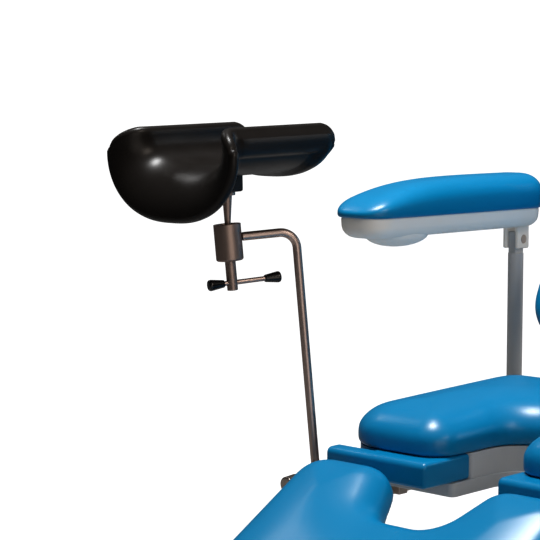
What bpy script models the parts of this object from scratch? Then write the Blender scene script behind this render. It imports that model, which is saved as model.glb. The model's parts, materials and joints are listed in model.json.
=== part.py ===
"""A gynecological examination chair: lift column, seat, backrest, leg plate, armrests and two knee crutches.

Metres, +Z up. The chair faces -Y, so the patient's left side is at +X. The origin is on the floor under the
middle of the chair. Each moving group hangs on an empty that stands on its joint's axis.
"""

import math

import bmesh
import bpy
from mathutils import Matrix, Vector

# Whole chair and clearances
CHAIR_SHIFT_Y = -0.0472
SEAT_GAP = 0.0003
RUN_GAP = 0.0003
EDGE = 0.002
FINE_EDGE = 0.001
BITE = 0.004
PAST = 0.02
SEAT_WIDTH = 0.54
COLUMN_Y = 0.10

# Base and lifting column
FOOT_RADIUS = 0.026
FOOT_HEIGHT = 0.030
FOOT_INSET = 0.050
FOOT_EDGE = 0.003
FOOT_PAD = 0.010
FOOT_SHOULDER = 0.016
FOOT_STEM_RADIUS = 0.012
BASE_WIDTH = 0.52
BASE_FRONT = -0.30
BASE_REAR = 0.54
BASE_CORNER = 0.050
BASE_PLATE_THICK = 0.020
COVER_LOW = 0.014
COVER_TOP = 0.120
COVER_WALL = 0.004
COVER_SHOULDER = ((0.0, 0.045), (0.006, 0.022), (0.020, 0.007), (0.044, 0.0))
COLUMN_SIDE = 0.170
COLUMN_WALL = 0.005
COLUMN_CORNER = 0.020
COLUMN_SLIDE_GAP = 0.0006
COLUMN_TOP = 0.440
INNER_BOTTOM = 0.165
INNER_TOP_PLATE = 0.010
MOTOR_SIDE = 0.090
MOTOR_TOP = 0.340
MOTOR_EDGE = 0.008
MOTOR_FLOOR = 0.008
SPINDLE_RADIUS = 0.015
SPINDLE_BOTTOM = 0.180

# Seat
FRAME_LOW = 0.666
FRAME_FLOOR = 0.688
FRAME_WIDTH = SEAT_WIDTH - 0.030
FRAME_FRONT = -0.145
FRAME_REAR = 0.270
FRAME_CORNER = 0.015
FRAME_LIP = 0.010
DECK_INSET = 0.002
ROLL_THICK = 0.040
ROLL_FRONT = -0.212
ROLL_REAR = -0.100
ROLL_OUTER = SEAT_WIDTH / 2 - 0.008
ROLL_NOSE = 0.010
ROLL_FOOT = 0.0065
ROLL_END = 0.006
ROLL_INNER = 0.066
ROLL_SHELF = 0.026
ROLL_TUCK = 0.004
ROLL_RELIEF_STEPS = 5
CUSHION_THICK = 0.068
CUSHION_RISE = 0.17
CUSHION_FRONT = -0.180
CUSHION_REAR = 0.262
CUSHION_CORNER = 0.086
CUTOUT_HALF = 0.064
CUTOUT_END = 0.016
CUTOUT_ROUND = 0.98
CUTOUT_LIP = 0.050
CROWN_INSET = 0.046

# Side rails
RAIL_X = SEAT_WIDTH / 2 + 0.024
RAIL_Z = 0.630
RAIL_THICK = 0.010
RAIL_HEIGHT = 0.030
RAIL_FRONT = -0.235
RAIL_REAR = 0.170
STANDOFF_SIDE = 0.022
STANDOFF_BELOW = 0.006
STANDOFF_FRONT_Y = -0.030
STANDOFF_REAR_Y = 0.140

# Hinges
PIN_RADIUS = 0.008
EAR_RADIUS = 0.017
EAR_THICK = 0.010
BACK_EAR_ROOT = 0.050
LEG_EAR_ROOT = 0.040

# Backrest
BACK_AXIS_Y = 0.294
BACK_AXIS_Z = 0.672
BACK_RECLINE = math.radians(27)
BACK_EAR_X = 0.215
BACK_TUBE = 0.026
BACK_TUBE_EDGE = 0.003
BACK_TUBE_SHORT = 0.030
BACK_BAR_LOW = 0.110
BACK_BAR_MIDDLE = 0.440
BACK_BAR_TOP = 0.070
BACK_LENGTH = 0.840
BACK_PAD_START = 0.165
BACK_PAD_THICK = 0.075
BACK_CORNER = 0.080
BACK_SHELL_THICK = 0.016
BACK_SHELL_START = 0.190
BACK_SHELL_INSET = 0.020
BACK_SHELL_EDGE = 0.010
LEVER_X = 0.140
LEVER_DROP = 0.082
LEVER_LEAN = math.radians(41)
LEVER_THICK = 0.010
LEVER_HALF = 0.011
LEVER_FOOT = 0.012
LEVER_TOP = 0.006
LEVER_HEAD = 0.130
STUB_HALF = 0.014
STUB_RADIUS = 0.006

# Backrest drive
DRIVE_FRONT = -0.110
DRIVE_REAR = 0.110
DRIVE_RADIUS = 0.021
DRIVE_ROD_RADIUS = 0.010
DRIVE_ROD_START = 0.020
DRIVE_BORE_START = 0.030
DRIVE_MOTOR_START = 0.004
DRIVE_MOTOR_LENGTH = 0.060
DRIVE_MOTOR_HALF = 0.024
DRIVE_MOTOR_DROP = 0.075
DRIVE_MOTOR_EDGE = 0.006
HANGER_START = 0.080
HANGER_LENGTH = 0.040
HANGER_HALF = 0.016
FORK_SLOT = 0.044
FORK_WALL = 0.006
FORK_PLAY = 0.0015
FORK_HALF = 0.029
FORK_BACK = 0.052
FORK_FRONT = 0.014
FORK_STEM = 0.042
FORK_GAP_BACK = 0.036
FORK_SLOT_BACK = 0.010

# Leg plate
LEG_AXIS_Y = -0.214
LEG_AXIS_Z = 0.674
LEG_DROP = math.radians(30)
LEG_REAR = -0.004
LEG_FRONT = 0.405
LEG_WIDTH = SEAT_WIDTH - 0.030
LEG_PAD_LOW = 0.018
LEG_PIN_RADIUS = 0.006
LEG_EAR_RADIUS = 0.012
LEG_PAD_THICK = 0.071
LEG_FRAME_THICK = 0.018
LEG_CROWN_INSET = 0.039
LEG_CORNER = 0.070
LEG_REAR_CORNER = 0.056
LEG_BOARD_INSET = 0.030
LEG_BOARD_BACK = 0.015
LEG_BOARD_CORNER = 0.040
LEG_ARM_ROOT = 0.060
LEG_ARM_END = 0.014
LEG_EYE_BACK = 0.030
LEG_EYE_EDGE = 0.0035
LEG_NOTCH_HALF = 0.100
LEG_NOTCH_FLOOR = 0.058
LEG_NOTCH_DEPTH = 0.105
LEG_NOTCH_ROUND = 0.050
LEG_EAR_X = 0.205

# Armrests
ARM_X = SEAT_WIDTH / 2 + 0.075
ARM_WIDTH = 0.112
ARM_CORNER = 0.047
ARM_STEP = 0.045
ARM_NOSE = -0.060
ARM_REAR = 0.425
ARM_SPLIT_Z = 1.070
ARM_PAD_NOSE = 0.018
ARM_PAD_REAR = 0.062
ARM_PAD_CURVE = 5.2
ARM_PAD_LEVELS = ((0.004, 0.0), (0.0, 0.16), (0.001, 0.45), (0.006, 0.70), (0.016, 0.88), (0.032, 1.0))
ARM_SHELL_DEPTH = 0.034
ARM_SHELL_INSET = 0.006
ARM_SHELL_LEVELS = ((0.020, 0.0), (0.008, 0.006), (0.001, 0.018), (0.0, ARM_SHELL_DEPTH))
ARM_SWELL_Y = 0.056
ARM_SWELL_LENGTH = 0.138
ARM_SWELL_WIDTH = 0.080
ARM_SWELL_DEPTH = 0.018
ARM_SWELL_PROFILE = ((0.30, -1.0), (0.72, -0.86), (0.92, -0.45), (1.0, 0.0), (1.0, 1.0))
ARM_AXIS_Y = 0.392
ARM_AXIS_Z = 1.012
ARM_LUG_HALF = 0.009
ARM_FORK_THICK = 0.008
ARM_FORK_ROOT = 0.010
POST_RADIUS = 0.014
POST_BEND = 0.040
POST_SEAT_Y = 0.225
POST_SHORT = 0.008
TONGUE_HALF = 0.012
TONGUE_BELOW = 0.060
TONGUE_ABOVE = 0.014

# Knee crutch stands
STAND_X = RAIL_X + 0.032
STAND_Y = -0.160
STAND_Z = 0.642
STAND_LEAN_OUT = math.radians(3.2)
STAND_LEAN_FRONT = math.radians(3.8)
ROD_RADIUS = 0.0070
ROD_BELOW = 0.095
ROD_ABOVE = 0.416
ROD_BEND = 0.026
ROD_REACH = 0.108
ROD_TOE_OUT = math.radians(36)
BUSH_WALL = 0.0030
BUSH_FLANGE = 0.0030
BUSH_FLANGE_RADIUS = 0.0150
SLEEVE_RADIUS = 0.0170
SLEEVE_BELOW = 0.034
SLEEVE_ABOVE = 0.036
JAW_HALF = 0.025
JAW_WALL = 0.007
JAW_LIP = 0.006
JAW_TO_ROD = 0.006
SCREW_Z = 0.022
SCREW_RADIUS = 0.005
SCREW_HEAD_START = 0.045
SCREW_HEAD_END = 0.071
SCREW_HEAD_RADIUS = 0.0135
SCREW_BAR_RADIUS = 0.0035
SCREW_BAR_HALF = 0.026
SCREW_BAR_TURN = math.radians(45)

# Ball clamp under each crutch
BALL_ABOVE_ROD = 0.003
BALL_RADIUS = 0.0130
BALL_GAP = 0.0004
CLAMP_RADIUS = 0.0217
CLAMP_TOP = 0.0190
CLAMP_BOTTOM = 0.0390
CLAMP_FOOT_EDGE = 0.0023
MOUTH_RADIUS = 0.0116
MOUTH_TOP_RADIUS = 0.0170
CUP_THICK = 0.0050
CUP_RIM = 0.0040
CUP_FOOT_SHARE = 0.3
NECK_RADIUS = 0.0045
NECK_TOP_RADIUS = 0.0078
NECK_TOP = 0.0640
FLANGE_RADIUS = 0.0130
FLANGE_THICK = 0.0050
TEE_RADIUS = 0.0085
TEE_END = 0.0860
TEE_HOLE = 0.0740
BAR_RADIUS = 0.0040
BAR_OFFSET = 0.0210
BAR_TRAVEL = 0.0040
BAR_TURN = math.radians(66)
KNOB_LENGTH = 0.0270
KNOB_GRIP = 0.0150
BAR_HALF = KNOB_GRIP + BAR_OFFSET + TEE_RADIUS + BAR_TRAVEL + 2 * RUN_GAP
KNOB_RADIUS = 0.0092
KNOB_NECK = 0.0058
KNOB_CROWN = 0.0030

# Knee crutch shell
CRUTCH_HALF = 0.095
CRUTCH_NOD = math.radians(2.2)
CRUTCH_REAR = 0.152
CRUTCH_FRONT = 0.118
CRUTCH_FLOOR = 0.1030
CRUTCH_WALL = 0.062
CRUTCH_THICK = 0.017
CRUTCH_SQUARE = 0.72
CRUTCH_REAR_ROUND = 0.034
CRUTCH_REAR_CUT = 0.036
FLARE_FLOOR = 0.073
FLARE_WALL = 0.046
FLARE_EASE = 0.12
FLARE_ANGLE = math.radians(84)
CRUTCH_ACROSS = 16
CRUTCH_STATIONS = 6
CRUTCH_FLARE_STEPS = 6
STATION_SPREAD = 1.4
SECTION_STEP = 0.004
REAR_SHARE = 0.80
REAR_TUCK = 0.03
LOBE_SHARE = 0.86
LOBE_TUCK = 0.02
LOBE_START = 0.3
EDGE_SWELL = 0.45
EDGE_PUSH = 0.35
RIM_ROUND = 0.8
BLOCK_HALF = 0.019
BLOCK_EDGE = 0.003


def material(name, colour, roughness, metallic=0.0):
    """One Principled BSDF material."""
    made = bpy.data.materials.new(name)
    made.use_nodes = True
    shader = made.node_tree.nodes["Principled BSDF"]
    shader.inputs["Base Color"].default_value = (*colour, 1.0)
    shader.inputs["Roughness"].default_value = roughness
    shader.inputs["Metallic"].default_value = metallic
    return made


def empty(name, parent=None, place=(0, 0, 0), turn=None):
    """An empty at a place in its parent's frame, turned by a rotation matrix."""
    made = bpy.data.objects.new(name, None)
    bpy.context.scene.collection.objects.link(made)
    made.parent = parent
    made.location = place
    if turn:
        made.rotation_euler = turn.to_euler()
    return made


def solid(name, shape, finish, parent, place=(0, 0, 0)):
    """A named object from a bmesh, smooth except along its sharp edges."""
    bmesh.ops.recalc_face_normals(shape, faces=shape.faces)
    mesh = bpy.data.meshes.new(name)
    shape.to_mesh(mesh)
    shape.free()
    mesh.shade_smooth()
    mesh.set_sharp_from_angle(angle=math.radians(35))
    made = bpy.data.objects.new(name, mesh)
    bpy.context.scene.collection.objects.link(made)
    made.parent = parent
    made.location = place
    if finish:
        mesh.materials.append(finish)
    return made


def helper(shape, parent, place=(0, 0, 0)):
    """A hidden object that a Boolean uses."""
    made = solid("helper", shape, None, parent, place)
    made.hide_render = True
    made.display_type = "WIRE"
    return made


def combine(target, operation, *shapes):
    """Boolean modifiers that join shapes to target, or cut them from it, in target's own frame."""
    for shape in shapes:
        step = target.modifiers.new(operation.lower(), "BOOLEAN")
        step.operation = operation
        step.object = helper(shape, target.parent, target.location)
    return target


def box(low, high, bevel=0.0):
    """A box between two corners, with chamfered edges."""
    shape = bmesh.new()
    bmesh.ops.create_cube(shape, size=1.0)
    for vert in shape.verts:
        for i in range(3):
            vert.co[i] = low[i] if vert.co[i] < 0 else high[i]
    if bevel:
        bmesh.ops.bevel(shape, geom=list(shape.edges), offset=bevel, segments=1, affect="EDGES")
    return shape


def side_box(side, low, high, bevel=0.0):
    """A box given for the side at +X, and mirrored for the other side."""
    if side < 0:
        low, high = (-high[0], *low[1:]), (-low[0], *high[1:])
    return box(low, high, bevel)


def loft(rings, closed=False, ladder=False):
    """A body through rings of equally many points.

    Its ends are flat caps, or are joined end to end, or (ladder) are strips between a ring's two halves.
    """
    shape = bmesh.new()
    loops = [[shape.verts.new(point) for point in ring] for ring in rings]
    count = len(loops[0])
    pairs = list(zip(loops, loops[1:]))
    if closed:
        pairs.append((loops[-1], loops[0]))
    for first, second in pairs:
        for i in range(count):
            shape.faces.new((first[i - 1], first[i], second[i], second[i - 1]))
    for end in () if closed else (loops[0], loops[-1]):
        if not ladder:
            shape.faces.new(end)
            continue
        last = count // 2 - 2
        shape.faces.new((end[-1], end[0], end[count - 2]))
        shape.faces.new((end[last], end[last + 1], end[last + 2]))
        for i in range(last):
            shape.faces.new((end[i], end[i + 1], end[count - 3 - i], end[count - 2 - i]))
    return shape


def ring(radius, height, sides):
    """Points of a circle about Z."""
    angles = [math.tau * (i + 0.5) / sides for i in range(sides)]
    return [Vector((radius * math.cos(a), radius * math.sin(a), height)) for a in angles]


def turned(profile, sides=20):
    """A solid of revolution about Z, from (radius, height) pairs between its two end faces."""
    return loft([ring(radius, height, sides) for radius, height in profile])


def turned_hollow(profile, sides=20):
    """A solid of revolution about Z with a way through it, from a closed (radius, height) outline."""
    rings = []
    for i in range(sides):
        angle = math.tau * (i + 0.5) / sides
        rings.append([Vector((r * math.cos(angle), r * math.sin(angle), z)) for r, z in profile])
    return loft(rings, closed=True)


def along(start, end):
    """The matrix that takes +Z at the origin to the line from start to end."""
    direction = Vector(end) - Vector(start)
    turn = Vector((0, 0, 1)).rotation_difference(direction).to_matrix().to_4x4()
    return Matrix.Translation(start) @ turn


def bar(start, end, radius, sides=16):
    """A straight round bar between two points."""
    shape = turned([(radius, 0), (radius, (Vector(end) - Vector(start)).length)], sides)
    shape.transform(along(start, end))
    return shape


def bent_bar(corners, radius, bend, sides=16, steps=6):
    """A round bar through corner points, bent to a radius at each inner corner."""
    corners = [Vector(corner) for corner in corners]
    path = [(corners[0], corners[1] - corners[0])]
    for before, here, after in zip(corners, corners[1:], corners[2:]):
        back, on = (before - here).normalized(), (after - here).normalized()
        half = back.angle(on) / 2
        centre = here + (back + on).normalized() * bend / math.sin(half)
        first = here + back * bend / math.tan(half) - centre
        axis = (-back).cross(on).normalized()
        sweep = math.pi - 2 * half
        for k in range(steps + 1):
            turn = Matrix.Rotation(sweep * k / steps, 3, axis)
            path.append((centre + turn @ first, turn @ -back))
    path.append((corners[-1], corners[-1] - corners[-2]))
    across = path[0][1].orthogonal()
    rings = []
    for i, (point, direction) in enumerate(path):
        if i:
            across = path[i - 1][1].rotation_difference(direction) @ across
        first = across.normalized()
        second = direction.normalized().cross(first)
        rings.append([point + first * p.x + second * p.y for p in ring(radius, 0, sides)])
    return loft(rings)


def filleted(corners, step=math.radians(20)):
    """Outline points through (x, y, fillet radius) corners in counter-clockwise order."""
    points = []
    for i, (x, y, radius) in enumerate(corners):
        here = Vector((x, y))
        back = (Vector(corners[i - 1][:2]) - here).normalized()
        on = (Vector(corners[(i + 1) % len(corners)][:2]) - here).normalized()
        half = back.angle(on) / 2
        centre = here + (back + on).normalized() * radius / math.sin(half)
        first = here + back * radius / math.tan(half) - centre
        sweep = math.pi - 2 * half
        turn = math.copysign(sweep, on.x * back.y - on.y * back.x)
        count = max(2, math.ceil(sweep / step))
        for k in range(count + 1):
            points.append(centre + Matrix.Rotation(turn * k / count, 2) @ first)
    return points


def inset(outline, distance):
    """A counter-clockwise outline moved inwards by a distance."""
    moved = []
    for i, point in enumerate(outline):
        before = (point - outline[i - 1]).normalized()
        after = (outline[(i + 1) % len(outline)] - point).normalized()
        normal = Vector((-before.y - after.y, before.x + after.x)).normalized()
        moved.append(point + normal * distance / max(0.5, normal.dot(Vector((-after.y, after.x)))))
    return moved


def resampled(outline, step):
    """An outline with points added so that none lie further apart than a step."""
    points = []
    for start, end in zip(outline, [*outline[1:], outline[0]]):
        count = math.ceil((end - start).length / step)
        points += [start.lerp(end, k / count) for k in range(count)]
    return points


def stacked(outline, levels):
    """A body through copies of an outline, each moved in by a distance and set at a height."""
    return loft([[Vector((*point, z)) for point in inset(outline, d)] for d, z in levels])


def slab(outline, low, high):
    """An extruded outline between two heights."""
    return stacked(outline, [(0, low), (0, high)])


def cushion(outline, thick, crown):
    """A crowned pad on z 0: drawn in a little at its foot, upright to its waist, rounded to its crown."""
    levels = [
        (crown * 0.06, 0.0), (0.0, 0.06), (0.0, 0.33), (crown * 0.06, 0.56),
        (crown * 0.24, 0.78), (crown * 0.52, 0.92), (crown, 1.0),
    ]
    return stacked(outline, [(distance, thick * share) for distance, share in levels])


def rounded(half_x, low_y, high_y, radius):
    """Counter-clockwise corners of a rounded rectangle, centred across."""
    plan = ((-half_x, low_y), (half_x, low_y), (half_x, high_y), (-half_x, high_y))
    return [(x, y, radius) for x, y in plan]


def sided(name, side):
    """A name with its side of the chair."""
    return f"{name}_{'left' if side > 0 else 'right'}"


def base(root, finish):
    """Feet, base plate and its cover."""
    half = BASE_WIDTH / 2
    outline = filleted(rounded(half, BASE_FRONT, BASE_REAR, BASE_CORNER))
    plate_top = FOOT_HEIGHT + BASE_PLATE_THICK
    plate = slab(inset(outline, COVER_WALL + SEAT_GAP), FOOT_HEIGHT, plate_top)
    solid("base_plate", plate, finish["steel"], root)
    profile = [
        (FOOT_RADIUS - FOOT_EDGE, 0), (FOOT_RADIUS, FOOT_EDGE), (FOOT_RADIUS, FOOT_PAD),
        (FOOT_STEM_RADIUS, FOOT_SHOULDER), (FOOT_STEM_RADIUS, FOOT_HEIGHT - SEAT_GAP),
    ]
    for side in (-1, 1):
        for end, y in (("front", BASE_FRONT + FOOT_INSET), ("rear", BASE_REAR - FOOT_INSET)):
            place = (side * (half - FOOT_INSET), y, 0)
            solid(sided(f"foot_{end}", side), turned(profile, 18), finish["rubber"], root, place)
    levels = [(distance, COVER_TOP - drop) for distance, drop in COVER_SHOULDER]
    cover = solid("base_cover", stacked(outline, [(0, COVER_LOW), *levels]), finish["white"], root)
    hollow = [(distance + COVER_WALL, z - COVER_WALL) for distance, z in [(0, 0), *levels]]
    reach = COLUMN_SIDE / 2 + RUN_GAP
    way = box((-reach, COLUMN_Y - reach, plate_top), (reach, COLUMN_Y + reach, COVER_TOP + PAST))
    combine(cover, "DIFFERENCE", stacked(outline, hollow), way)


def square_tube(side, low, high, top_plate, wall):
    """The outer body and the hollow of a square column tube about the column's axis."""
    corners = rounded(side / 2, COLUMN_Y - side / 2, COLUMN_Y + side / 2, COLUMN_CORNER)
    outline = filleted(corners, math.radians(30))
    hollow_top = high - top_plate if top_plate else high + PAST
    return slab(outline, low, high), slab(inset(outline, wall), low - PAST, hollow_top)


def column(root, lift, finish):
    """The telescoping column and the lift drive inside it."""
    floor = FOOT_HEIGHT + BASE_PLATE_THICK + SEAT_GAP
    body, hollow = square_tube(COLUMN_SIDE, floor, COLUMN_TOP, 0, COLUMN_WALL)
    combine(solid("column_outer", body, finish["white"], root), "DIFFERENCE", hollow)
    top = FRAME_LOW - SEAT_GAP
    side = COLUMN_SIDE - 2 * COLUMN_WALL - 2 * COLUMN_SLIDE_GAP
    body, hollow = square_tube(side, INNER_BOTTOM, top, INNER_TOP_PLATE, COLUMN_WALL)
    combine(solid("column_inner", body, finish["steel"], lift), "DIFFERENCE", hollow)
    half = MOTOR_SIDE / 2
    centre = (0, COLUMN_Y, 0)
    housing = box((-half, -half, floor), (half, half, MOTOR_TOP), MOTOR_EDGE)
    motor = solid("lift_drive_body", housing, finish["dark"], root, centre)
    bore = bar((0, 0, floor + MOTOR_FLOOR), (0, 0, MOTOR_TOP + PAST), SPINDLE_RADIUS + RUN_GAP)
    combine(motor, "DIFFERENCE", bore)
    spindle = bar((0, 0, SPINDLE_BOTTOM), (0, 0, top - INNER_TOP_PLATE - SEAT_GAP), SPINDLE_RADIUS)
    solid("lift_drive_rod", spindle, finish["stainless"], lift, centre)


def cutout_outline(half, front, rear, corner, lip):
    """A seat outline with the round cut-out in its front edge."""
    end = CUTOUT_HALF * CUTOUT_ROUND
    return filleted([
        (-half, front, corner), (-CUTOUT_HALF, front, lip), (-CUTOUT_HALF, CUTOUT_END, end),
        (CUTOUT_HALF, CUTOUT_END, end), (CUTOUT_HALF, front, lip), (half, front, corner),
        (half, rear, corner), (-half, rear, corner),
    ])


def seat_frame(lift, finish):
    """The seat frame: a plate, a raised deck behind the rolls, and the ears of both hinges."""
    half = FRAME_WIDTH / 2
    plate = cutout_outline(half, FRAME_FRONT, FRAME_REAR, FRAME_CORNER, FRAME_LIP)
    frame = solid("seat_frame", slab(plate, FRAME_LOW, FRAME_FLOOR), finish["white"], lift)
    deck_front = ROLL_REAR + SEAT_GAP - DECK_INSET
    deck_plan = inset(cutout_outline(half, deck_front, FRAME_REAR, FRAME_CORNER, FRAME_LIP), DECK_INSET)
    deck = slab(deck_plan, FRAME_FLOOR - BITE, FRAME_FLOOR + ROLL_THICK)
    ears = []
    for side in (-1, 1):
        x = BACK_EAR_X - EAR_THICK / 2
        low = (x, FRAME_REAR - BACK_EAR_ROOT, BACK_AXIS_Z - EAR_RADIUS)
        high = (x + EAR_THICK, BACK_AXIS_Y + EAR_RADIUS, FRAME_FLOOR - BITE)
        ears.append(side_box(side, low, high, EDGE))
        x = LEG_EAR_X - EAR_THICK / 2
        low = (x, LEG_AXIS_Y - LEG_EAR_RADIUS, LEG_AXIS_Z - LEG_EAR_RADIUS)
        high = (x + EAR_THICK, FRAME_FRONT + LEG_EAR_ROOT, LEG_AXIS_Z + LEG_EAR_RADIUS)
        ears.append(side_box(side, low, high, EDGE))
    combine(frame, "UNION", deck, *ears)
    bores = []
    for y, z, radius in ((BACK_AXIS_Y, BACK_AXIS_Z, PIN_RADIUS), (LEG_AXIS_Y, LEG_AXIS_Z, LEG_PIN_RADIUS)):
        bores.append(bar((-half, y, z), (half, y, z), radius + RUN_GAP))
    combine(frame, "DIFFERENCE", *bores)


def bullnose(half):
    """A front roll along X: a block whose front edge is rounded over, with softened ends."""
    top = ROLL_THICK - SEAT_GAP
    section = filleted([
        (ROLL_FRONT, 0, ROLL_FOOT), (ROLL_REAR, 0, ROLL_FOOT), (ROLL_REAR, top, ROLL_FOOT),
        (ROLL_FRONT, top, ROLL_NOSE),
    ])
    stations = [(-half, ROLL_END), (ROLL_END - half, 0), (half - ROLL_END, 0), (half, ROLL_END)]
    return loft([[Vector((x, *point)) for point in inset(section, d)] for x, d in stations])


def roll_relief(side, across):
    """The space left free beside the cushion's round corner, so that only the roll's front stands out past it."""
    centre = Vector((SEAT_WIDTH / 2 - CUSHION_CORNER, CUSHION_FRONT + CUSHION_CORNER))
    radius = CUSHION_CORNER - ROLL_TUCK
    far, shelf = SEAT_WIDTH / 2 + PAST, ROLL_FRONT + ROLL_SHELF
    outline = [Vector((centre.x, shelf)), Vector((far, shelf)), Vector((far, centre.y))]
    for k in range(ROLL_RELIEF_STEPS + 1):
        angle = math.pi / 2 * k / ROLL_RELIEF_STEPS
        outline.append(centre + radius * Vector((math.cos(angle), -math.sin(angle))))
    placed = [Vector((side * point.x - across, point.y)) for point in outline[::side]]
    return slab(placed, -PAST, ROLL_THICK + PAST)


def seat(lift, finish):
    """Seat cushion, the roll under its front on each side of the cut-out, and the side rails."""
    wide = (ROLL_OUTER - ROLL_INNER) / 2
    for side in (-1, 1):
        across = side * (ROLL_INNER + wide)
        place = (across, 0, FRAME_FLOOR + SEAT_GAP)
        roll = solid(sided("front_roll", side), bullnose(wide), finish["blue"], lift, place)
        combine(roll, "DIFFERENCE", roll_relief(side, across))
    outline = cutout_outline(SEAT_WIDTH / 2, CUSHION_FRONT, CUSHION_REAR, CUSHION_CORNER, CUTOUT_LIP)
    place = (0, 0, FRAME_FLOOR + ROLL_THICK + SEAT_GAP)
    pad = cushion(outline, CUSHION_THICK, CROWN_INSET)
    for vert in pad.verts:
        vert.co.z *= 1 + CUSHION_RISE * (vert.co.y - CUSHION_FRONT) / (CUSHION_REAR - CUSHION_FRONT)
    solid("seat_cushion", pad, finish["blue"], lift, place)
    x = RAIL_X - RAIL_THICK / 2
    tall = RAIL_HEIGHT / 2
    for side in (-1, 1):
        low, high = (x, RAIL_FRONT, RAIL_Z - tall), (x + RAIL_THICK, RAIL_REAR, RAIL_Z + tall)
        rail = solid(sided("side_rail", side), side_box(side, low, high, EDGE), finish["stainless"], lift)
        for y in (STANDOFF_FRONT_Y, STANDOFF_REAR_Y):
            low = (FRAME_WIDTH / 2 + SEAT_GAP, y - STANDOFF_SIDE / 2, RAIL_Z - STANDOFF_BELOW)
            high = (RAIL_X, y + STANDOFF_SIDE / 2, FRAME_FLOOR - FINE_EDGE)
            combine(rail, "UNION", side_box(side, low, high, FINE_EDGE))


def backrest(axis, finish):
    """Back frame with its lever, cushion, rear shell and hinge pin. Z runs up the back, -Y to its front."""
    tube = BACK_TUBE / 2
    inside = BACK_EAR_X - EAR_THICK / 2 - RUN_GAP
    bars = []
    for side in (-1, 1):
        low, high = (inside - BACK_TUBE, -tube, -EAR_RADIUS), (inside, tube, BACK_LENGTH - BACK_TUBE_SHORT)
        bars.append(side_box(side, low, high, BACK_TUBE_EDGE))
    flat = tube - EDGE
    for z in (BACK_BAR_LOW, BACK_BAR_MIDDLE, BACK_LENGTH - BACK_BAR_TOP):
        bars.append(box((tube - inside, -flat, z), (inside - tube, flat, z + BACK_TUBE), EDGE))
    low, high = LEVER_X - LEVER_THICK / 2, LEVER_X + LEVER_THICK / 2
    flat = tube - BITE
    bars.append(box((low, -flat, -LEVER_FOOT), (high, flat, LEVER_HEAD), EDGE))
    arm = box((low, -LEVER_HALF, -LEVER_DROP - LEVER_FOOT), (high, LEVER_HALF, LEVER_TOP), EDGE)
    stub = bar((LEVER_X - STUB_HALF, 0, -LEVER_DROP), (LEVER_X + STUB_HALF, 0, -LEVER_DROP), STUB_RADIUS, 12)
    for piece in (arm, stub):
        piece.transform(Matrix.Rotation(LEVER_LEAN, 4, "X"))
    frame = solid("back_frame", bars[0], finish["white"], axis)
    combine(frame, "UNION", *bars[1:], arm, stub)
    reach = BACK_EAR_X + EAR_THICK
    combine(frame, "DIFFERENCE", bar((-reach, 0, 0), (reach, 0, 0), PIN_RADIUS + RUN_GAP))
    solid("back_hinge_pin", bar((-reach, 0, 0), (reach, 0, 0), PIN_RADIUS), finish["stainless"], axis)
    upright = Matrix.Rotation(math.pi / 2, 4, "X")
    outline = filleted(rounded(SEAT_WIDTH / 2, BACK_PAD_START, BACK_LENGTH, BACK_CORNER))
    pad = cushion(outline, BACK_PAD_THICK, CROWN_INSET)
    pad.transform(upright)
    solid("back_cushion", pad, finish["blue"], axis, (0, -tube - SEAT_GAP, 0))
    half, top = SEAT_WIDTH / 2 - BACK_SHELL_INSET, BACK_LENGTH - BACK_SHELL_INSET
    panel = filleted(rounded(half, BACK_SHELL_START, top, BACK_CORNER - BACK_SHELL_INSET))
    shell = stacked(panel, [(BACK_SHELL_EDGE, 0), (0, BACK_SHELL_EDGE), (0, BACK_SHELL_THICK)])
    shell.transform(upright)
    solid("back_shell", shell, finish["white"], axis, (0, tube + SEAT_GAP + BACK_SHELL_THICK, 0))


def back_drive(lift, slide, place, finish):
    """The recline drive: tube and motor under the seat, and a rod whose open fork holds the lever's stub."""
    reach = BACK_AXIS_Y + LEVER_DROP * math.sin(LEVER_LEAN - BACK_RECLINE)
    tube = bar((0, DRIVE_FRONT, 0), (0, DRIVE_REAR, 0), DRIVE_RADIUS)
    body = solid("back_drive_tube", tube, finish["dark"], lift, place)
    start = DRIVE_FRONT + DRIVE_MOTOR_START
    high = (DRIVE_MOTOR_HALF, start + DRIVE_MOTOR_LENGTH, 0)
    motor = box((-DRIVE_MOTOR_HALF, start, -DRIVE_MOTOR_DROP), high, DRIVE_MOTOR_EDGE)
    start = DRIVE_FRONT + HANGER_START
    high = (HANGER_HALF, start + HANGER_LENGTH, FRAME_LOW - SEAT_GAP - place[2])
    hanger = box((-HANGER_HALF, start, 0), high, EDGE)
    combine(body, "UNION", motor, hanger)
    bore_start = (0, DRIVE_FRONT + DRIVE_BORE_START, 0)
    combine(body, "DIFFERENCE", bar(bore_start, (0, DRIVE_REAR + PAST, 0), DRIVE_ROD_RADIUS + RUN_GAP))
    stem = bar((0, DRIVE_ROD_START, 0), (0, reach - FORK_STEM, 0), DRIVE_ROD_RADIUS)
    piece = solid("back_drive_rod", stem, finish["stainless"], slide)
    cheek = LEVER_THICK / 2 + FORK_PLAY
    outside = cheek + FORK_WALL
    head = box((-outside, reach - FORK_BACK, -FORK_HALF), (outside, reach + FORK_FRONT, FORK_HALF), EDGE)
    tall = FORK_HALF + PAST
    gap = box((-cheek, reach - FORK_GAP_BACK, -tall), (cheek, reach + FORK_BACK, tall))
    wide = outside + PAST
    slot = box((-wide, reach - FORK_SLOT_BACK, -FORK_SLOT / 2), (wide, reach + FORK_BACK, FORK_SLOT / 2))
    combine(piece, "UNION", head)
    combine(piece, "DIFFERENCE", gap, slot)


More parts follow.
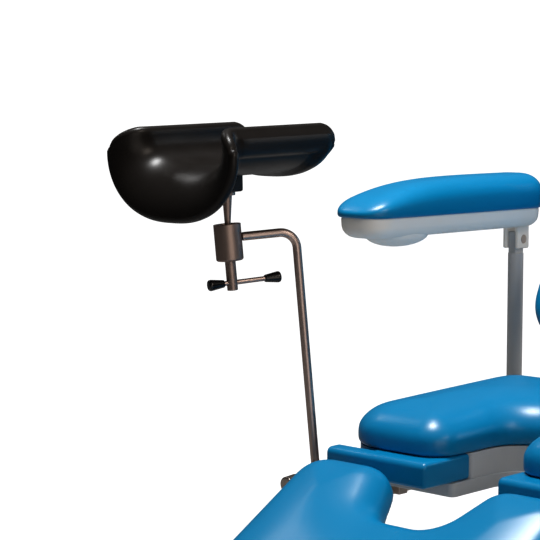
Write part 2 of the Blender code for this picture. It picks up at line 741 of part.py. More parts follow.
def leg_plate(axis, finish):
    """Leg frame with its hinge studs, and the notched leg cushion. -Y runs down the plate."""
    half = LEG_WIDTH / 2
    notch = LEG_REAR - LEG_NOTCH_DEPTH
    pad = filleted([
        (-half, -LEG_FRONT, LEG_CORNER), (half, -LEG_FRONT, LEG_CORNER), (half, LEG_REAR, LEG_REAR_CORNER),
        (LEG_NOTCH_HALF, LEG_REAR, CUTOUT_LIP), (LEG_NOTCH_FLOOR, notch, LEG_NOTCH_ROUND),
        (-LEG_NOTCH_FLOOR, notch, LEG_NOTCH_ROUND), (-LEG_NOTCH_HALF, LEG_REAR, CUTOUT_LIP),
        (-half, LEG_REAR, LEG_REAR_CORNER),
    ])
    place = (0, 0, LEG_PAD_LOW + SEAT_GAP)
    solid("leg_cushion", cushion(pad, LEG_PAD_THICK, LEG_CROWN_INSET), finish["blue"], axis, place)
    front, rear = LEG_BOARD_INSET - LEG_FRONT, notch - LEG_BOARD_BACK
    corners = rounded(half - LEG_BOARD_INSET, front, rear, LEG_BOARD_CORNER)
    board = slab(filleted(corners), LEG_PAD_LOW - LEG_FRAME_THICK, LEG_PAD_LOW)
    frame = solid("leg_frame", board, finish["white"], axis)
    parts = []
    inner = LEG_EAR_X + EAR_THICK / 2 + RUN_GAP
    outer = inner + EAR_THICK
    foot = FINE_EDGE - LEG_EAR_RADIUS
    for side in (-1, 1):
        low, high = (inner, notch - LEG_ARM_ROOT, foot), (outer, -LEG_ARM_END, LEG_PAD_LOW - FINE_EDGE)
        parts.append(side_box(side, low, high, EDGE))
        parts.append(side_box(side, (inner, -LEG_EYE_BACK, foot), (outer, -foot, -foot), LEG_EYE_EDGE))
        start, end = LEG_EAR_X - EAR_THICK, inner + EAR_THICK / 2
        parts.append(bar((side * start, 0, 0), (side * end, 0, 0), LEG_PIN_RADIUS))
    combine(frame, "UNION", *parts)


def arm_ring(inset_by, height_at, count):
    """The armrest's plan outline moved in by a distance, with a height for each point."""
    corners = rounded(ARM_WIDTH / 2, ARM_NOSE, ARM_REAR, ARM_CORNER)
    outline = inset(resampled(filleted(corners, math.pi / count), ARM_STEP), inset_by)
    return [Vector((point.x, point.y - ARM_AXIS_Y, height_at(point.y))) for point in outline]


def armrest(axis, lift, side, finish):
    """Armrest pad and shell, hinge pin, and the bent post that carries them from the seat frame's side."""
    split = ARM_SPLIT_Z - ARM_AXIS_Z
    span = ARM_REAR - ARM_NOSE

    def rise(share):
        def height(y):
            along_arm = max(0.0, min(1.0, (y - ARM_NOSE) / span))
            full = 1 - (1 - along_arm) ** ARM_PAD_CURVE
            return split + SEAT_GAP + share * (ARM_PAD_NOSE + (ARM_PAD_REAR - ARM_PAD_NOSE) * full)
        return height

    pad = loft([arm_ring(distance, rise(share), 10) for distance, share in ARM_PAD_LEVELS])
    solid(sided("arm_pad", side), pad, finish["blue"], axis)
    low = split - ARM_SHELL_DEPTH
    levels = [(distance, low + above) for distance, above in ARM_SHELL_LEVELS]
    body = loft([arm_ring(ARM_SHELL_INSET + d, lambda y, level=z: level, 10) for d, z in levels])
    shell = solid(sided("arm_shell", side), body, finish["white"], axis)
    swell = turned(ARM_SWELL_PROFILE, 24)
    centre = Vector((0, ARM_SWELL_Y - ARM_AXIS_Y, low))
    scale = Matrix.Diagonal((ARM_SWELL_WIDTH / 2, ARM_SWELL_LENGTH / 2, ARM_SWELL_DEPTH, 1))
    swell.transform(Matrix.Translation(centre) @ scale)
    cheeks = []
    for way in (-1, 1):
        x = ARM_LUG_HALF + RUN_GAP
        high = (x + ARM_FORK_THICK, EAR_RADIUS, low + ARM_FORK_ROOT)
        cheeks.append(side_box(way, (x, -EAR_RADIUS, -EAR_RADIUS), high, EDGE))
    combine(shell, "UNION", swell, *cheeks)
    reach = ARM_LUG_HALF + ARM_FORK_THICK + RUN_GAP
    combine(shell, "DIFFERENCE", bar((-reach - PAST, 0, 0), (reach + PAST, 0, 0), PIN_RADIUS + RUN_GAP))
    solid(sided("arm_pin", side), bar((-reach, 0, 0), (reach, 0, 0), PIN_RADIUS), finish["stainless"], axis)
    level = (FRAME_LOW + FRAME_FLOOR + ROLL_THICK) / 2
    corners = [
        (side * (FRAME_WIDTH / 2 + SEAT_GAP), POST_SEAT_Y, level), (side * ARM_X, POST_SEAT_Y, level),
        (side * ARM_X, ARM_AXIS_Y, level), (side * ARM_X, ARM_AXIS_Y, ARM_AXIS_Z - EAR_RADIUS - POST_SHORT),
    ]
    post = solid(sided("arm_post", side), bent_bar(corners, POST_RADIUS, POST_BEND), finish["white"], lift)
    low = (ARM_X - ARM_LUG_HALF, ARM_AXIS_Y - TONGUE_HALF, ARM_AXIS_Z - TONGUE_BELOW)
    high = (ARM_X + ARM_LUG_HALF, ARM_AXIS_Y + TONGUE_HALF, ARM_AXIS_Z + TONGUE_ABOVE)
    combine(post, "UNION", side_box(side, low, high, EDGE))
    start = (side * ARM_X - reach - PAST, ARM_AXIS_Y, ARM_AXIS_Z)
    end = (side * ARM_X + reach + PAST, ARM_AXIS_Y, ARM_AXIS_Z)
    combine(post, "DIFFERENCE", bar(start, end, PIN_RADIUS + RUN_GAP))


def rail_clamp(slide, lean, screw_axis, side, finish):
    """The rail clamp: a jaw round the rail, a leaning sleeve for the rod, and a screw with a cross bar."""
    rail_in = RAIL_X - RAIL_THICK / 2 - RUN_GAP - STAND_X
    rail_out = RAIL_X + RAIL_THICK / 2 + RUN_GAP - STAND_X
    middle = RAIL_Z - STAND_Z
    tall = RAIL_HEIGHT / 2 + RUN_GAP
    low = (rail_in - JAW_LIP, -JAW_HALF, middle - tall - JAW_WALL)
    jaw = side_box(side, low, (-JAW_TO_ROD, JAW_HALF, middle + tall + JAW_WALL), EDGE)
    clamp = solid(sided("rail_clamp", side), jaw, finish["stainless"], slide)
    sleeve = bar((0, 0, -SLEEVE_BELOW), (0, 0, SLEEVE_ABOVE), SLEEVE_RADIUS, 24)
    sleeve.transform(lean.to_4x4())
    combine(clamp, "UNION", sleeve)
    wide = ROD_RADIUS + BUSH_WALL + 2 * RUN_GAP
    bore = bar((0, 0, -SLEEVE_BELOW - PAST), (0, 0, SLEEVE_ABOVE + PAST), wide, 24)
    bore.transform(lean.to_4x4())
    past = JAW_HALF + PAST
    slot = side_box(side, (rail_in, -past, middle - tall), (rail_out, past, middle + tall))
    low, high = middle - tall + JAW_LIP, middle + tall - JAW_LIP
    mouth = side_box(side, (rail_in - JAW_LIP - PAST, -past, low), (rail_out, past, high))
    thread = bar((0, -past, SCREW_Z), (0, 0, SCREW_Z), SCREW_RADIUS + RUN_GAP, 14)
    thread.transform(lean.to_4x4())
    combine(clamp, "DIFFERENCE", slot, mouth, bore, thread)
    shank = bar((0, -wide - RUN_GAP, 0), (0, -SCREW_HEAD_START - BITE, 0), SCREW_RADIUS, 14)
    screw = solid(sided("rail_screw", side), shank, finish["stainless"], screw_axis)
    head = turned([
        (SCREW_HEAD_RADIUS - EDGE, SCREW_HEAD_START), (SCREW_HEAD_RADIUS, SCREW_HEAD_START + EDGE),
        (SCREW_HEAD_RADIUS, SCREW_HEAD_END - EDGE), (SCREW_HEAD_RADIUS - EDGE, SCREW_HEAD_END),
    ])
    head.transform(Matrix.Rotation(math.pi / 2, 4, "X"))
    tip = Vector((side * math.cos(SCREW_BAR_TURN), 0, -math.sin(SCREW_BAR_TURN))) * SCREW_BAR_HALF
    hub = Vector((0, -(SCREW_HEAD_START + SCREW_HEAD_END) / 2, 0))
    combine(screw, "UNION", head, bar(hub - tip, hub + tip, SCREW_BAR_RADIUS, 10))


def stand_rod(bush_axis, rod_axis, side, finish):
    """The nylon bush in the sleeve and the bent rod that slides in it. Returns the ball's centre."""
    inner, outer = ROD_RADIUS + RUN_GAP, ROD_RADIUS + RUN_GAP + BUSH_WALL
    top = SLEEVE_ABOVE + RUN_GAP
    profile = [
        (inner, -SLEEVE_BELOW), (outer, -SLEEVE_BELOW), (outer, top), (BUSH_FLANGE_RADIUS, top),
        (BUSH_FLANGE_RADIUS, top + BUSH_FLANGE), (inner, top + BUSH_FLANGE),
    ]
    solid(sided("rod_bush", side), turned_hollow(profile, 24), finish["nylon"], bush_axis)
    way = Vector((side * math.sin(ROD_TOE_OUT), -math.cos(ROD_TOE_OUT), 0))
    high = Vector((0, 0, ROD_ABOVE))
    end = high + way * (ROD_REACH - CLAMP_RADIUS - SEAT_GAP)
    rod = bent_bar([(0, 0, -ROD_BELOW), high, end], ROD_RADIUS, ROD_BEND)
    solid(sided("leg_rod", side), rod, finish["stainless"], rod_axis)
    return high + way * ROD_REACH + Vector((0, 0, BALL_ABOVE_ROD))


def ball_clamp(rod_axis, centre, cup_axis, pin_axis, side, finish):
    """The clamp cylinder with its round mouth, the cup that turns in it, and the ball pin."""
    room = BALL_RADIUS + BALL_GAP
    edge = math.acos(MOUTH_RADIUS / room)
    deep = -BALL_RADIUS - CUP_THICK - 2 * RUN_GAP
    hole = TEE_RADIUS + RUN_GAP
    profile = [
        (hole, -CLAMP_BOTTOM), (CLAMP_RADIUS - CLAMP_FOOT_EDGE, -CLAMP_BOTTOM),
        (CLAMP_RADIUS, CLAMP_FOOT_EDGE - CLAMP_BOTTOM), (CLAMP_RADIUS, CLAMP_TOP - FINE_EDGE),
        (CLAMP_RADIUS - FINE_EDGE, CLAMP_TOP), (MOUTH_TOP_RADIUS, CLAMP_TOP),
    ]
    for part in (1.0, 0.67, 0.33, 0.0):
        profile.append((room * math.cos(edge * part), room * math.sin(edge * part)))
    profile += [(room, deep), (hole, deep)]
    solid(sided("ball_clamp", side), turned_hollow(profile, 28), finish["stainless"], rod_axis, centre)
    wall = room - RUN_GAP
    foot = deep + RUN_GAP
    dish = [(wall * CUP_FOOT_SHARE, foot), (wall, foot), (wall, -CUP_RIM)]
    for degrees in (24, 40, 56, 72, 84):
        angle = math.radians(degrees)
        dish.append((room * math.cos(angle), -room * math.sin(angle) - RUN_GAP))
    solid(sided("ball_cup", side), turned(dish, 24), finish["nylon"], cup_axis)
    profile = []
    for degrees in (-84, -60, -36, -12, 12, 36, 56):
        angle = math.radians(degrees)
        profile.append((BALL_RADIUS * math.cos(angle), BALL_RADIUS * math.sin(angle)))
    profile += [
        (NECK_RADIUS, CLAMP_TOP - BITE), (NECK_TOP_RADIUS, NECK_TOP), (FLANGE_RADIUS, NECK_TOP),
        (FLANGE_RADIUS, NECK_TOP + FLANGE_THICK),
    ]
    solid(sided("ball_pin", side), turned(profile), finish["stainless"], pin_axis)


def tee_screw(screw_axis, bar_axis, side, finish):
    """The clamp screw under the cylinder and the bar with two knobs that slides through it."""
    top = -BALL_RADIUS - CUP_THICK - 2 * RUN_GAP
    profile = [(TEE_RADIUS - FINE_EDGE, -TEE_END), (TEE_RADIUS, FINE_EDGE - TEE_END), (TEE_RADIUS, top)]
    screw = solid(sided("clamp_screw", side), turned(profile), finish["stainless"], screw_axis)
    way = Vector((side * -math.cos(BAR_TURN), math.sin(BAR_TURN), 0))
    high = Vector((0, 0, -TEE_HOLE))
    combine(screw, "DIFFERENCE", bar(high - way * PAST, high + way * PAST, BAR_RADIUS + RUN_GAP, 14))
    middle = way * BAR_OFFSET
    slider = bar(middle - way * BAR_HALF, middle + way * BAR_HALF, BAR_RADIUS, 14)
    solid(sided("clamp_bar", side), slider, finish["stainless"], bar_axis)
    profile = [
        (KNOB_NECK, 0.0), (KNOB_NECK + FINE_EDGE, FINE_EDGE), (KNOB_RADIUS, KNOB_LENGTH - 2 * EDGE),
        (KNOB_RADIUS - FINE_EDGE, KNOB_LENGTH - FINE_EDGE), (KNOB_RADIUS - KNOB_CROWN, KNOB_LENGTH),
    ]
    for name, sign in (("bar_knob_front", -1), ("bar_knob_rear", 1)):
        start = middle + way * sign * (BAR_HALF - KNOB_GRIP)
        knob = turned(profile)
        knob.transform(along(start, start + way * sign))
        piece = solid(sided(name, side), knob, finish["black"], bar_axis)
        end = middle + way * sign * (BAR_HALF + SEAT_GAP)
        combine(piece, "DIFFERENCE", bar(start - way * sign * PAST, end, BAR_RADIUS + SEAT_GAP, 14))


def trough_section(across):
    """A point of the crutch's U section, its outward normal and its run, at a share from -1 to 1 across."""
    def point(share):
        angle = share * math.pi / 2
        x = math.copysign(abs(math.sin(angle)) ** CRUTCH_SQUARE, angle) * CRUTCH_HALF
        return Vector((x, 0, CRUTCH_FLOOR + CRUTCH_WALL * (1 - abs(math.cos(angle)) ** CRUTCH_SQUARE)))

    low, high = max(-1.0, across - SECTION_STEP), min(1.0, across + SECTION_STEP)
    run = (point(high) - point(low)).normalized()
    return point(across), Vector((run.z, 0, -run.x)), run


def trough_ring(y, flare, share, swell, push):
    """A closed ring round the crutch's wall at a station: inner face, rim, outer face and the other rim."""
    inner, outer, rims = [], [], []
    half = CRUTCH_THICK / 2 * swell
    for i in range(CRUTCH_ACROSS + 1):
        across = share * (2 * i / CRUTCH_ACROSS - 1)
        place, out, run = trough_section(across)
        radius = FLARE_FLOOR + (FLARE_WALL - FLARE_FLOOR) * across ** 2
        turn = 1 - FLARE_EASE * across ** 2
        angle = max(0.0, flare) * turn
        begin = radius * math.sin(FLARE_ANGLE * turn) - CRUTCH_FRONT
        rear = CRUTCH_REAR - CRUTCH_REAR_CUT * (1 - across ** 2)
        depth = begin - radius * math.sin(angle) if flare >= 0 else rear + (begin - rear) * y
        place = place + out * radius * (1 - math.cos(angle)) + Vector((0, depth, 0))
        normal = out * math.cos(angle) + Vector((0, math.sin(angle), 0))
        forward = Vector((0, -math.cos(angle), 0)) + out * math.sin(angle)
        place += forward * push
        inner.append(place - normal * half)
        outer.append(place + normal * half)
        if i in (0, CRUTCH_ACROSS):
            rims.append(place + run * math.copysign(half * RIM_ROUND, across))
    return [*inner, rims[1], *reversed(outer), rims[0]]


def crutch(axis, side, finish):
    """The knee crutch: a trough whose front edge rolls over, on a block that takes the ball pin's flange."""
    rings = []
    push = CRUTCH_THICK * EDGE_PUSH
    for k in range(CRUTCH_STATIONS):
        y = (k / CRUTCH_STATIONS) ** STATION_SPREAD
        back = max(0.0, 1 - y * (CRUTCH_REAR + CRUTCH_FRONT / 2) / CRUTCH_REAR_ROUND)
        share = REAR_SHARE + (1 - REAR_SHARE) * math.sqrt(1 - back ** 2)
        if k == 0:
            rings.append(trough_ring(y, -1, share - REAR_TUCK, EDGE_SWELL, -push))
        rings.append(trough_ring(y, -1, share, 1.0, 0.0))
    for k in range(CRUTCH_FLARE_STEPS + 1):
        part = k / CRUTCH_FLARE_STEPS
        lobe = max(0.0, part - LOBE_START) / (1 - LOBE_START)
        share = LOBE_SHARE + (1 - LOBE_SHARE) * math.sqrt(1 - lobe ** 2)
        rings.append(trough_ring(0, part * FLARE_ANGLE, share, 1.0, 0.0))
    rings.append(trough_ring(0, FLARE_ANGLE, LOBE_SHARE - LOBE_TUCK, EDGE_SWELL, push))
    shell = solid(sided("crutch", side), loft(rings, ladder=True), finish["black"], axis)
    low = NECK_TOP + FLANGE_THICK + SEAT_GAP
    block = box((-BLOCK_HALF, -BLOCK_HALF, low), (BLOCK_HALF, BLOCK_HALF, CRUTCH_FLOOR), BLOCK_EDGE)
    combine(shell, "UNION", block)


def stand(lift, side, finish):
    """One knee crutch stand on its side rail, with an empty for each of its joints."""
    out = Matrix.Rotation(side * STAND_LEAN_OUT, 3, "Y")
    lean = out @ Matrix.Rotation(STAND_LEAN_FRONT, 3, "X")
    slide = empty(sided("rail_slide", side), lift, (side * STAND_X, STAND_Y, STAND_Z))
    screw_axis = empty(sided("rail_screw_axis", side), slide, lean @ Vector((0, 0, SCREW_Z)), lean)
    rail_clamp(slide, lean, screw_axis, side, finish)
    bush_axis = empty(sided("rod_swivel", side), slide, (0, 0, 0), lean)
    rod_axis = empty(sided("rod_height", side), bush_axis)
    centre = stand_rod(bush_axis, rod_axis, side, finish)
    cup_axis = empty(sided("crutch_swivel", side), rod_axis, centre)
    level = Matrix.Rotation(-side * STAND_LEAN_OUT, 3, "Y") @ Matrix.Rotation(-CRUTCH_NOD, 3, "X")
    pin_axis = empty(sided("crutch_tilt", side), cup_axis, (0, 0, 0), level)
    ball_clamp(rod_axis, centre, cup_axis, pin_axis, side, finish)
    screw_axis = empty(sided("clamp_screw_axis", side), rod_axis, centre)
    bar_axis = empty(sided("clamp_bar_slide", side), screw_axis, (0, 0, -TEE_HOLE))
    tee_screw(screw_axis, bar_axis, side, finish)
    crutch(pin_axis, side, finish)


def main():
    """Build the chair."""
    for old in list(bpy.data.objects):
        bpy.data.objects.remove(old)
    finish = {
        "blue": material("blue_integral_skin_foam", (0.008, 0.245, 0.560), 0.32),
        "black": material("black_polyurethane", (0.012, 0.011, 0.011), 0.34),
        "white": material("light_grey_enamel", (0.62, 0.62, 0.62), 0.42),
        "steel": material("painted_steel", (0.50, 0.51, 0.52), 0.45),
        "stainless": material("stainless_steel", (0.46, 0.41, 0.38), 0.30, 1.0),
        "dark": material("drive_housing", (0.030, 0.032, 0.035), 0.50),
        "nylon": material("natural_nylon", (0.72, 0.70, 0.64), 0.50),
        "rubber": material("black_rubber", (0.020, 0.020, 0.020), 0.75),
    }
    root = empty("chair", None, (0, CHAIR_SHIFT_Y, 0))
    lift = empty("lift", root)
    base(root, finish)
    column(root, lift, finish)
    seat_frame(lift, finish)
    seat(lift, finish)
    back = empty("back_recline", lift, (0, BACK_AXIS_Y, BACK_AXIS_Z), Matrix.Rotation(-BACK_RECLINE, 3, "X"))
    backrest(back, finish)
    place = (LEVER_X, 0, BACK_AXIS_Z - LEVER_DROP * math.cos(LEVER_LEAN - BACK_RECLINE))
    back_drive(lift, empty("back_drive_slide", lift, place), place, finish)
    leg_plate(empty("leg_fold", lift, (0, LEG_AXIS_Y, LEG_AXIS_Z), Matrix.Rotation(LEG_DROP, 3, "X")), finish)
    for side in (-1, 1):
        arm = empty(sided("arm_lift", side), lift, (side * ARM_X, ARM_AXIS_Y, ARM_AXIS_Z))
        armrest(arm, lift, side, finish)
        stand(lift, side, finish)


main()
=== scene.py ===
"""Looks of a gynecological examination chair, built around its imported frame.

Metres, +Z up. The chair faces -Y, so the patient's left side is at +X. Sizes repeat those of the part.
"""

from __future__ import annotations

import functools
import json
import logging
import math
from dataclasses import dataclass
from enum import Enum
from typing import Any, Callable, Iterable, Sequence

import bmesh
import bpy
from mathutils import Matrix, Vector
from mathutils.kdtree import KDTree


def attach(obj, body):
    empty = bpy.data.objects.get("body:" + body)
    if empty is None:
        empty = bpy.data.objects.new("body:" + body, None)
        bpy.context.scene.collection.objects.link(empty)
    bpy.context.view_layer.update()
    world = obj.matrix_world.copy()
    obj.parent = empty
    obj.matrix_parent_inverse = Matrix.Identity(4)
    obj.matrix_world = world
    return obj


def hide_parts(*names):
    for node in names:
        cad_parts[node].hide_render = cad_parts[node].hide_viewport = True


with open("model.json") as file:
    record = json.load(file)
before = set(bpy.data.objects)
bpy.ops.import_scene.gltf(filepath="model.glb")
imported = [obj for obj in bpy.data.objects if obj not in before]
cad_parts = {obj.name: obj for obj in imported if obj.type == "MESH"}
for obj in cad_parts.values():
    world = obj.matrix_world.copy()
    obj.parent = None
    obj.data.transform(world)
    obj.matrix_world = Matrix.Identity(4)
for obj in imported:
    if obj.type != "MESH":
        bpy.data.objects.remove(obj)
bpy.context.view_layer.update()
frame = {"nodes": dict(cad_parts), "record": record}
BODY_OF = {node: body for body, nodes in frame["record"]["behaviour"]["bodies"].items() for node in nodes}
LOG = logging.getLogger("chair")

Profile = Sequence[tuple[float, float]]
Corner = tuple[float, float, float]
Shape = bmesh.types.BMesh

# Gaps of seated and running fits.
SEAT_GAP = 0.0003
RUN_GAP = 0.0003
# How far a cutter reaches past a face, and how far it reaches to go right through a piece.
OVERCUT = 0.01
THROUGH = 0.05
# How near points lie that become one.
MERGE = 0.00001
# Marks the moulded cushions as padded pieces.
FOAM_FILL = 0.9
MM_PER_METRE = 1000.0
WHITE = (1.0, 1.0, 1.0, 1.0)


class Side(Enum):
    """The patient's side that a piece is on, as its sign along X."""

    LEFT = 1
    RIGHT = -1

    def named(self, node: str) -> str:
        """A node's name with this side."""
        return f"{node}_{self.name.lower()}"


class SteelMade(Enum):
    """How a steel piece was worked, as the squeeze of its marks along X, Y and Z."""

    DRAWN = (1.0, 1.0, 0.02)
    TURNED = (0.03, 0.03, 1.0)
    MILLED = (1.0, 0.03, 1.0)


def linear(colour: str) -> tuple[float, float, float, float]:
    """Turn an sRGB hex colour to linear light.

    Args:
        colour: Six hex digits after a hash sign.

    Returns:
        Red, green, blue and an alpha of one.
    """
    parts = [int(colour[i:i + 2], 16) / 255 for i in (1, 3, 5)]
    light = [c / 12.92 if c <= 0.04045 else ((c + 0.055) / 1.055) ** 2.4 for c in parts]
    return (*light, 1.0)


def per_metre(millimetres: float) -> float:
    """The texture scale at which a pattern repeats once in so many millimetres."""
    return MM_PER_METRE / millimetres


def add_node(tree: bpy.types.NodeTree, kind: str, settings: dict[Any, Any] | None = None,
             links: dict[Any, bpy.types.NodeSocket] | None = None) -> bpy.types.Node:
    """Add one node with its settings and incoming links.

    Args:
        tree: The tree that takes the node.
        kind: The node's Blender type.
        settings: Values by input name, input number or property name.
        links: Sockets to link, by input name or number.

    Returns:
        The node.
    """
    node = tree.nodes.new(kind)
    for key, value in (settings or {}).items():
        if isinstance(key, str) and hasattr(node, key):
            setattr(node, key, value)
        else:
            node.inputs[key].default_value = value
    for key, socket in (links or {}).items():
        tree.links.new(socket, node.inputs[key])
    return node


@dataclass(frozen=True)
class Finish:
    """A surface: what it is made of, how it was made, and the record's slot for it.

    The grain is the fine relief, the peel the broad one, and the mottle a slow change of colour and gloss.
    """

    name: str
    slot: str
    suffix: str
    colour: str
    second_colour: str
    roughness: tuple[float, float]
    mottle_mm: float
    grain_mm: float
    grain_depth_mm: float
    peel_mm: float = 0.0
    peel_depth_mm: float = 0.0
    specular: float = 0.5
    metallic: float = 0.0
    marks: SteelMade | None = None
    mottle_detail: float = 4.0
    grain_detail: float = 2.0
    peel_detail: float = 1.0
    noise_span: tuple[float, float] = (0.3, 0.7)

    @functools.cache
    def material(self) -> bpy.types.Material:
        """Build the node material once.

        Returns:
            The material, with its colour, roughness and relief from noise in the piece's own space.
        """
        made = bpy.data.materials.new(self.name)
        made.use_nodes = True
        tree = made.node_tree
        shader = tree.nodes["Principled BSDF"]
        shader.inputs["Specular IOR Level"].default_value = self.specular
        shader.inputs["Metallic"].default_value = self.metallic
        space = add_node(tree, "ShaderNodeTexCoord").outputs["Object"]
        marked = space
        if self.marks:
            marked = add_node(tree, "ShaderNodeMapping", {"Scale": self.marks.value},
                              {"Vector": space}).outputs[0]
        mottle = add_node(tree, "ShaderNodeTexNoise",
                          {"Scale": per_metre(self.mottle_mm), "Detail": self.mottle_detail},
                          {"Vector": space}).outputs[0]
        grain = add_node(tree, "ShaderNodeTexNoise",
                         {"Scale": per_metre(self.grain_mm), "Detail": self.grain_detail},
                         {"Vector": marked}).outputs[0]
        tint = add_node(tree, "ShaderNodeMix",
                        {"data_type": "RGBA", 6: linear(self.colour), 7: linear(self.second_colour)},
                        {0: mottle}).outputs[2]
        gloss = add_node(tree, "ShaderNodeMapRange",
                         {"From Min": self.noise_span[0], "From Max": self.noise_span[1],
                          "To Min": self.roughness[0], "To Max": self.roughness[1]},
                         {"Value": grain if self.marks else mottle}).outputs[0]
        relief = add_node(tree, "ShaderNodeBump", {"Distance": self.grain_depth_mm / MM_PER_METRE},
                          {"Height": grain}).outputs[0]
        if self.peel_mm:
            peel = add_node(tree, "ShaderNodeTexNoise",
                            {"Scale": per_metre(self.peel_mm), "Detail": self.peel_detail},
                            {"Vector": space}).outputs[0]
            relief = add_node(tree, "ShaderNodeBump", {"Distance": self.peel_depth_mm / MM_PER_METRE},
                              {"Height": peel, "Normal": relief}).outputs[0]
        for socket, source in (("Base Color", tint), ("Roughness", gloss), ("Normal", relief)):
            tree.links.new(source, shader.inputs[socket])
        return made


# Polyurethane foam with a moulded blue skin: the eye sees a deep, even blue, broad soft highlights and a faint
# orange peel. The pores are 0.2 mm on the real skin and are drawn at 0.9 mm so that they show.
BLUE_FOAM = Finish(
    "blue_polyurethane_moulded_skin", "blue_foam", "foam", "#0079a9", "#027cad", roughness=(0.29, 0.34),
    mottle_mm=90, grain_mm=0.9, grain_depth_mm=0.0012, peel_mm=16, peel_depth_mm=0.012, specular=0.42)
# The same foam moulded with a black skin: near black, a warm grey where light grazes it, small soft highlights.
BLACK_FOAM = Finish(
    "black_polyurethane_moulded_skin", "black_polyurethane", "shell", "#181513", "#1c1917",
    roughness=(0.31, 0.37), mottle_mm=40, grain_mm=0.8, grain_depth_mm=0.002, peel_mm=14, peel_depth_mm=0.014,
    specular=0.22)
# Phenolic resin moulded in a polished tool: hard, glossy and black.
BLACK_PHENOLIC = Finish(
    "black_phenolic_moulded", "black_polyurethane", "knob", "#080808", "#0d0c0c", roughness=(0.16, 0.22),
    mottle_mm=12, grain_mm=0.7, grain_depth_mm=0.004)
# ABS moulded in a spark-eroded tool: light grey, half matt, with an even grain drawn at 1.1 mm so that it shows.
GREY_ABS = Finish(
    "grey_abs_moulded", "grey_plastic", "moulding", "#f3efe8", "#f5f1ea", roughness=(0.40, 0.48),
    mottle_mm=60, grain_mm=1.1, grain_depth_mm=0.012)
# Powder coat baked on steel: light grey, half gloss, with the shallow orange peel of flowed powder.
POWDER_COAT = Finish(
    "grey_powder_coated_steel", "painted_steel", "coat", "#b9bbbd", "#c0c2c3", roughness=(0.34, 0.42),
    mottle_mm=80, grain_mm=1.4, grain_depth_mm=0.02, peel_mm=3.5, peel_depth_mm=0.05)
# Dark powder coat on the drives: charcoal, half matt.
DARK_COAT = Finish(
    "charcoal_powder_coated_housing", "drive_housing", "housing", "#2c2e30", "#323437", roughness=(0.44, 0.54),
    mottle_mm=40, grain_mm=1.2, grain_depth_mm=0.03, peel_mm=3.0, peel_depth_mm=0.04)
# Stainless bar, drawn and polished: warm grey, with fine lines along it, drawn at 0.8 mm so that they show.
DRAWN_STEEL = Finish(
    "stainless_steel_drawn_polished", "stainless_steel", "steel", "#ad9b93", "#b2a098", roughness=(0.34, 0.40),
    mottle_mm=30, grain_mm=0.8, grain_depth_mm=0.0004, metallic=1.0, marks=SteelMade.DRAWN)
# Stainless turned on a lathe: a darker warm grey with fine rings round it, drawn at 0.8 mm so that they show.
TURNED_STEEL = Finish(
    "stainless_steel_turned", "stainless_steel", "turning", "#93827a", "#98877f", roughness=(0.40, 0.46),
    mottle_mm=30, grain_mm=0.8, grain_depth_mm=0.0004, metallic=1.0, marks=SteelMade.TURNED)
# Stainless strip, milled and brushed along its length: grey, with lines drawn at 0.9 mm so that they show.
BRUSHED_STEEL = Finish(
    "stainless_steel_brushed", "stainless_steel", "strip", "#a39992", "#a99f98", roughness=(0.28, 0.34),
    mottle_mm=40, grain_mm=0.9, grain_depth_mm=0.001, metallic=1.0, marks=SteelMade.MILLED)
# Natural nylon, machined: off-white, waxy, half matt.
NYLON = Finish(
    "natural_nylon_machined", "natural_nylon", "bush", "#d9d4c4", "#ded9ca", roughness=(0.38, 0.46),
    mottle_mm=20, grain_mm=0.9, grain_depth_mm=0.01)
# Rubber moulded for the feet: matt black, dusty on its flanks.
RUBBER = Finish(
    "black_rubber_moulded", "black_rubber", "rubber", "#161616", "#1d1d1c", roughness=(0.62, 0.78),
    mottle_mm=12, grain_mm=1.0, grain_depth_mm=0.03, specular=0.3)


# The most of a profile's side that a rounding takes, and a turned end's inner ring as a share of its radius.
EASE_SHARE = 0.45
END_SHARE = 0.5
# How sharp a mitre may be when an outline is moved in, and how full the curve of a slab's eased edge is.
MITRE_LIMIT = 0.5
EDGE_CURVE = 0.3
BEVEL_SEGMENTS = 3
SMOOTH_FACTOR = 0.5


def loft(rings: Sequence[Sequence[Vector]], closed: bool = False, capped: bool = True) -> Shape:
    """A body through rings of equally many points.

    Args:
        rings: The rings, each a closed loop.
        closed: Whether the last ring joins the first.
        capped: Whether flat faces close the ends.

    Returns:
        The body.
    """
    shape = bmesh.new()
    loops = [[shape.verts.new(point) for point in ring] for ring in rings]
    pairs = list(zip(loops, loops[1:]))
    if closed:
        pairs.append((loops[-1], loops[0]))
    for first, second in pairs:
        for i in range(len(first)):
            shape.faces.new((first[i - 1], first[i], second[i], second[i - 1]))
    if capped and not closed:
        shape.faces.new(loops[0])
        shape.faces.new(loops[-1])
    return shape


def circle(radius: float, height: float, sides: int) -> list[Vector]:
    """Points of a circle about Z."""
    angles = [math.tau * i / sides for i in range(sides)]
    return [Vector((radius * math.cos(a), radius * math.sin(a), height)) for a in angles]


def eased(profile: Profile, radius: float, steps: int = 4, closed: bool = False) -> list[tuple[float, float]]:
    """Round the corners of a profile.

    Args:
        profile: The profile's corners.
        radius: How far a rounding reaches along each side of a corner.
        steps: Points in each rounding, less one.
        closed: Whether the profile's two ends are corners too.

    Returns:
        The rounded profile.
    """
    corners = [Vector(corner) for corner in profile]
    last = len(corners) - 1
    points: list[tuple[float, float]] = []
    for i, here in enumerate(corners):
        if i in (0, last) and not closed:
            points.append(tuple(here))
            continue
        back, on = corners[i - 1] - here, corners[(i + 1) % len(corners)] - here
        first = here + back.normalized() * min(radius, back.length * EASE_SHARE)
        second = here + on.normalized() * min(radius, on.length * EASE_SHARE)
        for k in range(steps + 1):
            s = k / steps
            points.append(tuple(first * (1 - s) ** 2 + here * 2 * s * (1 - s) + second * s ** 2))
    return points


